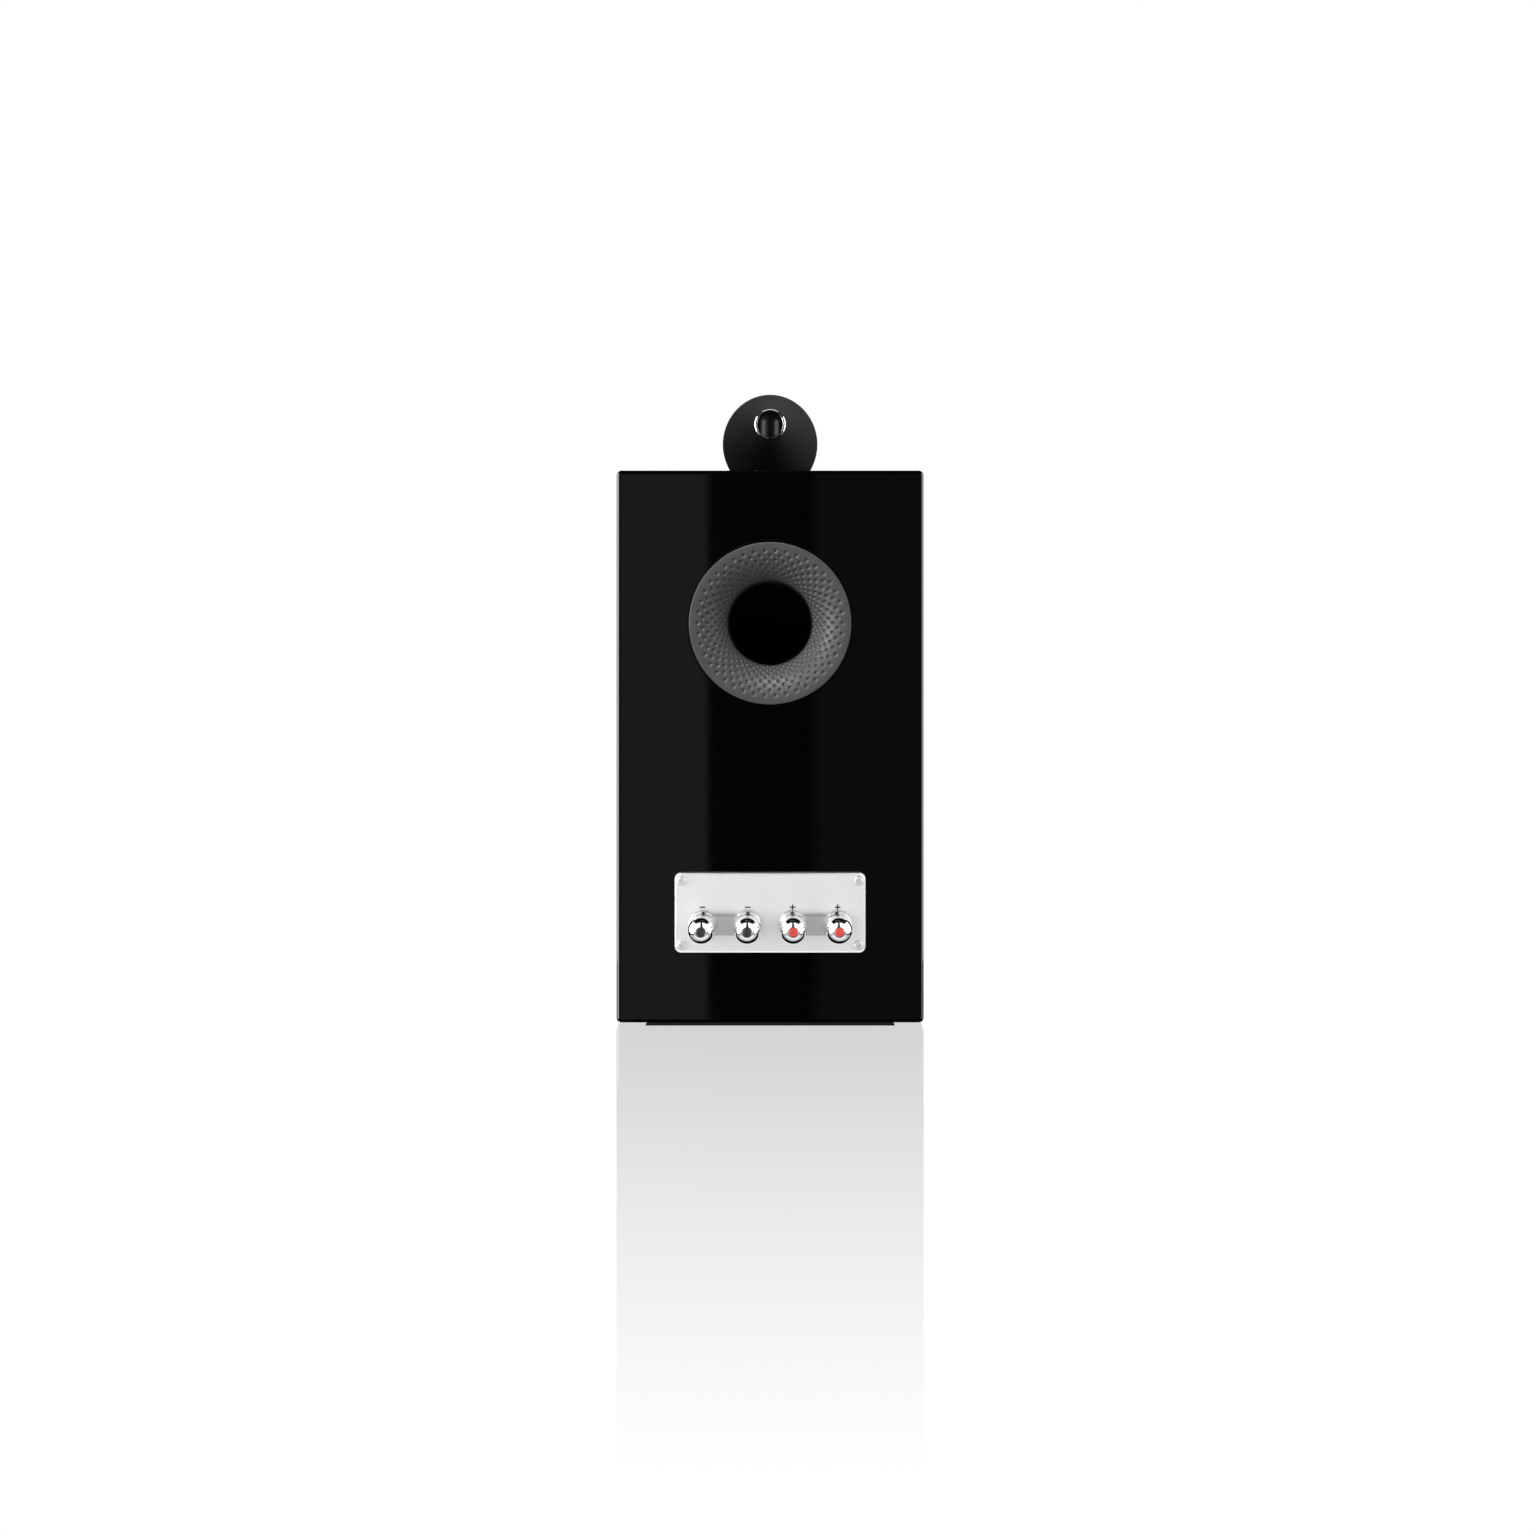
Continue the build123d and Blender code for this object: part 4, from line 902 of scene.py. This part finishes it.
# %% [markdown]
# ## The woven cone
# The bass cone is a resin-coated weave, silver grey, with threads about a millimetre and a half wide that
# cross at 45 degrees. Two sets of bands stand for the two directions of thread, and a checker of the same
# pitch says which one lies on top, which is what a plain weave is.

# %% Woven cone
thread = mm(1.5)
woven, tree, shader, place = new_finish("woven_composite", Metallic=0.35, IOR=1.5)
turned = add(tree, "Mapping", {"Vector": place, "Rotation": (0, math.pi / 4, 0)}).outputs[0]
flat = add(tree, "Mapping", {"Vector": turned, "Scale": (1, 0, 1)}).outputs[0]
over = add(tree, "TexChecker", {"Vector": flat, "Scale": 1 / thread}).outputs["Fac"]
wave = {"Vector": flat, "Scale": math.pi / (10 * thread)}
wave |= {"Distortion": 0.4, "Detail": 1.0, "Detail Scale": 2.0}
bands = [
    add(tree, "TexWave", wave, bands_direction=direction, wave_profile="SIN").outputs["Fac"]
    for direction in "XZ"
]
threads = add(tree, "Mix", {0: over, 2: bands[0], 3: bands[1]}, data_type="FLOAT").outputs[0]
fibre = {"Vector": turned, "Scale": 1 / mm(0.4), "Detail": 3.0}
fibres = add(tree, "TexNoise", fibre).outputs["Fac"]
colours = [(threads, "#6f7072", "#b4b5b8"), (fibres, "#4c4d4f", "#dcdcde")]
weave, fuzz = (
    add(tree, "Mix", {"Factor": share, 6: linear(low), 7: linear(high)}, data_type="RGBA").outputs[2]
    for share, low, high in colours
)
fleck = add(tree, "Mix", {"Factor": 0.25, 6: weave, 7: fuzz}, data_type="RGBA").outputs[2]
raised = add(tree, "Bump", {"Height": threads, "Distance": mm(0.12), "Strength": 0.8}).outputs[0]
sheen = add(tree, "MapRange", {"Value": threads, "To Min": 0.5, "To Max": 0.32}).outputs[0]
tree.links.new(fleck, shader.inputs["Base Color"])
tree.links.new(raised, shader.inputs["Normal"])
tree.links.new(sheen, shader.inputs["Roughness"])
finishes["woven_cone"] = woven

# %% [markdown]
# ## What is inside
# The wadding is white polyester fibre, pulled into a mat. The circuit board is green solder mask over fine
# glass cloth. The parts on it are told apart by where they stand: copper coils at one side, pale cement
# resistors in the middle, and dark film capacitors at the other.

# %% Inside finishes
# Polyester, carded into a mat: white and fluffy, with long loose fibres.
finishes["wadding"] = grained(
    "polyester_wadding", "#a3a39d", "#dcdcd6", 1.2, (0.9, 1.0), 0.9, stretch=(1, 0.25, 0.25), detail=8.0
)
# Glass cloth in epoxy under solder mask: deep green with a woven shine.
finishes["circuit_board"] = grained(
    "glass_epoxy_board", "#0e3a1d", "#16502a", 0.9, (0.3, 0.42), 0.01, stretch=(1, 1, 0.2)
)
mixed_parts, tree, shader, place = new_finish("coils_resistors_capacitors", IOR=1.5)
sideways = add(tree, "SeparateXYZ", {"Vector": place}).outputs["X"]
board_half = mm(52)
along_board = {"Value": sideways, "From Min": -board_half, "From Max": board_half}
share = add(tree, "MapRange", along_board).outputs[0]
ramp = add(tree, "ValToRGB", {"Fac": share})
ramp.color_ramp.interpolation = "CONSTANT"
ramp.color_ramp.elements[0].color = linear("#a4602f")
ramp.color_ramp.elements[1].position = 0.42
ramp.color_ramp.elements[1].color = linear("#cfc8b8")
ramp.color_ramp.elements.new(0.58).color = linear("#1e1a14")
winding = {"Vector": place, "Scale": 1 / mm(0.6), "Detail": 3.0}
windings = add(tree, "TexNoise", winding).outputs["Fac"]
uneven = add(tree, "Bump", {"Height": windings, "Distance": mm(0.1)}).outputs[0]
dull = add(tree, "MapRange", {"Value": windings, "To Min": 0.35, "To Max": 0.6}).outputs[0]
tree.links.new(ramp.outputs[0], shader.inputs["Base Color"])
tree.links.new(uneven, shader.inputs["Normal"])
tree.links.new(dull, shader.inputs["Roughness"])
finishes["component_mix"] = mixed_parts
print(len(finishes), "finishes")

# %% [markdown]
# ## Giving every part its finish
# The model's parts carry the names of their finishes, and so do the new pieces. The cabinet needs two: the
# lacquer outside, and raw board on every face that was cut. The plate's bevel takes the bright cut edge.

# %% Dress the parts
def only_finish(piece, *materials):
    piece.data.materials.clear()
    for material in materials:
        piece.data.materials.append(material)


for node in nodes.values():
    for held in node.material_slots:
        held.material = finishes[held.material.name.split(".")[0]]
for piece in pieces.values():
    only_finish(piece, finishes[piece["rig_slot"]])

only_finish(cabinet, finishes["gloss_lacquer"], finishes["fibreboard"])
skin = mm(3.2)  # the rounded edges reach this deep, so a face deeper inside is a cut one
for face in cabinet.data.polygons:
    x, y, z = face.center
    deep = abs(x) < half_width - skin and front_y + skin < y < rear_y - skin
    face.material_index = int(deep and bottom_z + skin < z < top_z - skin)
only_finish(terminal_plate, finishes["plate_aluminium"], cut_edge)
steepest, flattest = 0.2, 0.98  # the Y part of a bevelled face's normal lies between these
for face in terminal_plate.data.polygons:
    face.material_index = int(steepest < face.normal.y < flattest)
print(sum(face.material_index for face in cabinet.data.polygons), "cabinet faces are raw board")

# %% [markdown]
# ## The floor
# The speaker stands on white acrylic. Close to it the floor mirrors it, and the mirror fades out over
# half a metre. A mirror image is the same shape turned upside down under the floor. So a plain lacquered
# box hangs there for the cabinet, with upside-down copies of the pod, the trim ring and the bullet, and
# the floor is clear enough near the footprint to show them: a third at most, and less with distance. The
# plate and its posts are left out, because a soft polish loses such small things. Under the cabinet the
# floor's glow is turned down to a painted shadow, standing in for the shade that falls there.

# %% Mirror image
mirror_box = box_piece("mirrored_cabinet", (-half_width, front_y, -top_z), (half_width, rear_y, -bottom_z))
apply(mirror_box, "BEVEL", width=corner_round, segments=4, limit_method="NONE")
only_finish(mirror_box, finishes["gloss_lacquer"])


def mirrored(piece):
    """A copy of a piece, upside down under the floor, that belongs to the studio."""
    pick(piece)
    bpy.ops.object.duplicate()
    image = bpy.context.active_object
    image.parent = None
    for key in [key for key in image.keys() if key.startswith("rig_")]:
        del image[key]
    edit(image)
    bpy.ops.mesh.select_all(action="SELECT")
    bpy.ops.transform.resize(value=(1, 1, -1), center_override=(0, 0, 0))
    bpy.ops.mesh.flip_normals()
    leave_edit()
    image.name = image.data.name = "mirrored_" + piece.name
    return image


images = [mirrored(piece) for piece in (pod_shell, trim_ring, bullet)]
print(len(images), "mirror images")

# %% Floor
floor_size, floor_drop = 16, mm(0.02)
deselect()
bpy.ops.mesh.primitive_plane_add(size=floor_size, location=(0, 0, -floor_drop))
floor = start("studio_floor")
acrylic = bpy.data.materials.new("white_acrylic_floor")
tree = fresh_tree(acrylic)
place = add(tree, "TexCoord").outputs["Object"]
folded = add(tree, "VectorMath", {0: place}, operation="ABSOLUTE").outputs[0]


def past(limits):
    """How far a point of the floor lies past a footprint's edges, along X and Y."""
    return add(tree, "VectorMath", {0: folded, 1: limits}, operation="SUBTRACT").outputs[0]


mirror_reach, mirror_share, mirror_bend, shade_strength = mm(505), 0.34, 1.5, 0.02
outside = {0: past((half_width, rear_y, 0)), 1: (0, 0, 0)}
beyond = add(tree, "VectorMath", outside, operation="MAXIMUM").outputs[0]
reach = add(tree, "VectorMath", {0: beyond}, operation="LENGTH").outputs["Value"]
shares = {0: reach, 1: 1 / mirror_reach}
far = add(tree, "Math", shares, operation="MULTIPLY", use_clamp=True).outputs[0]
bent = add(tree, "Math", {0: far, 1: mirror_bend}, operation="POWER").outputs[0]
clear = add(tree, "MapRange", {"Value": bent, "To Min": mirror_share, "To Max": 0.0}).outputs[0]
# painted shadow: inside the base plate's footprint the floor's glow drops to shade_strength
sides = add(tree, "SeparateXYZ", {"Vector": past((span("base_plate", "X")[1], rear_y, 0))}).outputs
farthest = add(tree, "Math", {0: sides[0], 1: sides[1]}, operation="MAXIMUM").outputs[0]
lit = add(tree, "Math", {0: farthest, 1: 0.0}, operation="GREATER_THAN").outputs[0]
strength = add(tree, "MapRange", {"Value": lit, "To Min": shade_strength, "To Max": 1.0}).outputs[0]
glow = add(tree, "Emission", {"Color": (1, 1, 1, 1), "Strength": strength}).outputs[0]
window = add(tree, "BsdfTransparent", {"Color": (1, 1, 1, 1)}).outputs[0]
both = add(tree, "MixShader", {0: clear, 1: glow, 2: window}).outputs[0]
add(tree, "OutputMaterial", {"Surface": both})
only_finish(floor, acrylic)
floor.visible_glossy = floor.visible_shadow = False

# %% [markdown]
# ## Softboxes and cards
# Gloss black shows only what it reflects, so the lights are placed for their reflections. Two tall
# softboxes stand wide at the sides, out of the flat panels' view, and draw a bright line down each
# rounded edge. Behind the camera hang two dim grey cards with a gap between them, and these make the
# faint upright bands on the rear panel. A weaker pair of softboxes serves the front.

# %% Lamps
def softbox(name, azimuth, distance, height, width, tall, radiance, aim):
    """A rectangular area lamp. Azimuth 0 is in front of the drivers and 90 is at +X, in degrees."""
    turn = math.radians(azimuth)
    data = bpy.data.lights.new(name, "AREA")
    data.shape, data.size, data.size_y = "RECTANGLE", width, tall
    data.energy = radiance * math.pi * width * tall
    lamp = bpy.data.objects.new(name, data)
    bpy.context.scene.collection.objects.link(lamp)
    lamp.location = (distance * math.sin(turn), -distance * math.cos(turn), height)
    lamp.rotation_mode = "QUATERNION"
    lamp.rotation_quaternion = (lamp.location - Vector(aim)).to_track_quat("Z", "Y")
    lamp.visible_camera = False
    return lamp


def light_only(lamp, *objects, state="INCLUDE"):
    """Lets a lamp reach some objects only, or, with the state EXCLUDE, all but those."""
    group = bpy.data.collections.new(lamp.name + "_reach")
    for thing in objects:
        group.objects.link(thing)
    for member in group.collection_objects:
        member.light_linking.link_state = state
    lamp.light_linking.receiver_collection = group


# A row is a lamp's name, azimuth, distance, height, width, tall side, radiance and aim, and what it skips.
body_aim = (0, 0, 0.2)
studio_boxes = [
    ("rear_left_box", 105, 1.35, 0.4, 0.98, 1.7, 8.0, body_aim, (pod_shell, flare)),
    ("rear_right_box", 255, 1.35, 0.4, 0.98, 1.7, 2.5, body_aim, (flare,)),
    ("front_box_0", -72, 1.6, 0.5, 1.1, 1.7, 4.0, body_aim, (pod_shell,)),
    ("front_box_2", 72, 1.6, 0.5, 1.1, 1.7, 4.0, body_aim, (pod_shell,)),
]
for *settings, skipped in studio_boxes:
    light_only(softbox(*settings), *skipped, state="EXCLUDE")

# %% [markdown]
# ## Lamps for the small parts
# In a studio, small bright parts get reflectors of their own. Light linking does that here: each of these
# lamps reaches only the parts it is meant for. The port gets a strong light from one side, so that every
# dimple has a lit lip and a dark floor. The pod and its ring get one from above, and the pod's cap
# mirrors a narrow one at each side. The posts and their plate sit among white panels: two above with a
# narrow gap between them, one below, one under, and one at each side.

# %% Lamps for the small parts
# The rows are as above, but end with the part that the lamp reaches.
pod_aim = (0, rear_y, pod.z)
small_boxes = [
    ("port_main", 122, 1.35, 0.45, 0.5, 0.9, 14.0, body_aim, flare),
    ("port_side", 246, 1.35, 0.35, 0.5, 0.9, 3.0, body_aim, flare),
    ("port_fill", 170, 0.9, 1.7, 0.8, 0.8, 14.0, body_aim, flare),
    ("pod_above", 180, 0.6, 1.5, 1.6, 0.8, 8.0, pod_aim, pod_shell),
    ("ring_above", 180, 0.75, 1.35, 1.0, 0.5, 2.0, pod_aim, tail_ring),
    ("cap_box_0", 169, 1.5, 0.4, 0.16, 0.7, 2.4, pod_aim, tail_cap),
    ("cap_box_2", 191, 1.5, 0.4, 0.16, 0.7, 2.4, pod_aim, tail_cap),
]
for *settings, lit_part in small_boxes:
    light_only(softbox(*settings), lit_part)

hardware_names = (
    "brushed", "terminal", "polished", "pressure", "socket", "post", "plated", "polarity",
)
hardware = [piece for name, piece in pieces.items() if name.startswith(hardware_names)]
post_end = Vector((0, knob_y1, posts["negative_lf"].z))


def panel(name, elevation, x0, x1, distance, tall, radiance):
    """A white panel from x0 to x1 that faces the posts from some degrees above or below their line."""
    tilt = math.radians(elevation)
    away = Vector((0, math.cos(tilt), math.sin(tilt)))
    lamp = softbox(name, 0, 0, 0, abs(x1 - x0), tall, radiance, body_aim)
    lamp.location = post_end + away * distance + Vector(((x0 + x1) / 2, 0, 0))
    lamp.rotation_quaternion = away.to_track_quat("Z", "Y")
    light_only(lamp, *hardware, nodes["binding_post_studs"])


# A row is a panel's name, elevation, two ends along X, distance, tall side and radiance.
panels = [
    ("posts_above_left", 33, 0.14, 1.7, 1.0, 1.9, 1.4),
    ("posts_above_right", 33, -0.14, -1.7, 1.0, 1.9, 1.4),
    ("posts_below", -40, -1.3, 1.3, 1.0, 1.5, 0.5),
    ("posts_under", -93, -0.5, 0.5, 0.25, 0.55, 0.6),
]
for settings in panels:
    panel(*settings)
for name, azimuth in (("plate_side_0", 92), ("plate_side_2", 268)):
    side_box = softbox(name, azimuth, 0.8, post_end.z, 1.2, 1.2, 1.1, tuple(post_end))
    light_only(side_box, terminal_plate, screw_set)


def card(name, x0, x1, y, z0, z1, low, high, edge):
    """An upright card that glows a little. It goes from low at its inner side to high across edge."""
    deselect()
    middle = ((x0 + x1) / 2, y, (z0 + z1) / 2)
    bpy.ops.mesh.primitive_plane_add(size=1, location=middle, rotation=upright)
    made = bpy.context.active_object
    made.scale = (abs(x1 - x0), z1 - z0, 1)
    start(name)
    grey = bpy.data.materials.new(name)
    tree = fresh_tree(grey)
    place = add(tree, "TexCoord").outputs["Object"]
    sideways = add(tree, "SeparateXYZ", {"Vector": place}).outputs["X"]
    fade = {"Value": sideways, "From Min": x0, "From Max": x0 + edge, "To Min": low, "To Max": high}
    strength = add(tree, "MapRange", fade, interpolation_type="SMOOTHSTEP").outputs[0]
    shine = add(tree, "Emission", {"Color": (1, 1, 1, 1), "Strength": strength}).outputs[0]
    add(tree, "OutputMaterial", {"Surface": shine})
    only_finish(made, grey)
    made.visible_camera = False
    return made


card_y, card_bottom, card_top = 3.135, -1.9, 1.6
left_glow, right_glow = 0.25, 0.085
card("left_card", mm(160), mm(900), card_y, card_bottom, card_top, left_glow, left_glow, mm(100))
card("right_card", mm(-85), mm(-900), card_y, card_bottom, card_top, 0.0, right_glow, mm(-55))

# %% [markdown]
# ## The world
# To the camera the world is plain white paper. Shiny surfaces see next to nothing of it, so blacks stay
# black, and dull surfaces get a soft even fill. The Light Path node tells these apart.

# %% World
world = bpy.data.worlds.new("white_studio")
bpy.context.scene.world = world
tree = fresh_tree(world)
rays = add(tree, "LightPath").outputs
dull_fill, shiny_fill, paper_white = 0.5, 0.02, 1.0
fills = {"Value": rays["Is Diffuse Ray"], "To Min": shiny_fill, "To Max": dull_fill}
fill = add(tree, "MapRange", fills).outputs[0]
seen = add(tree, "Mix", {0: rays["Is Camera Ray"], 2: fill, 3: paper_white}, data_type="FLOAT")
paper = add(tree, "Background", {"Color": (1, 1, 1, 1), "Strength": seen.outputs[0]}).outputs[0]
add(tree, "OutputWorld", {"Surface": paper})

# %% [markdown]
# ## The camera
# The camera stands level behind the speaker, a little over a metre from its centre, at the height of the
# port. A small downward shift keeps the uprights upright while the frame takes in the floor.

# %% Camera
scene = bpy.context.scene
scene.view_settings.view_transform = "Standard"
lens = bpy.data.cameras.new("rear_camera")
sensor_width, focal_length = 36, 36.09
shift_aside, shift_down = -0.00137, -0.0939
camera_distance, camera_height = mm(960), mm(250.5)
lens.sensor_width, lens.lens = sensor_width, focal_length
lens.shift_x, lens.shift_y = shift_aside, shift_down
lens.clip_start, lens.clip_end = mm(50), 30
camera = bpy.data.objects.new("rear_camera", lens)
scene.collection.objects.link(camera)
camera.location = (0, rear_y + camera_distance, camera_height)
camera.rotation_euler = (math.pi / 2, 0, math.pi)
scene.camera = camera
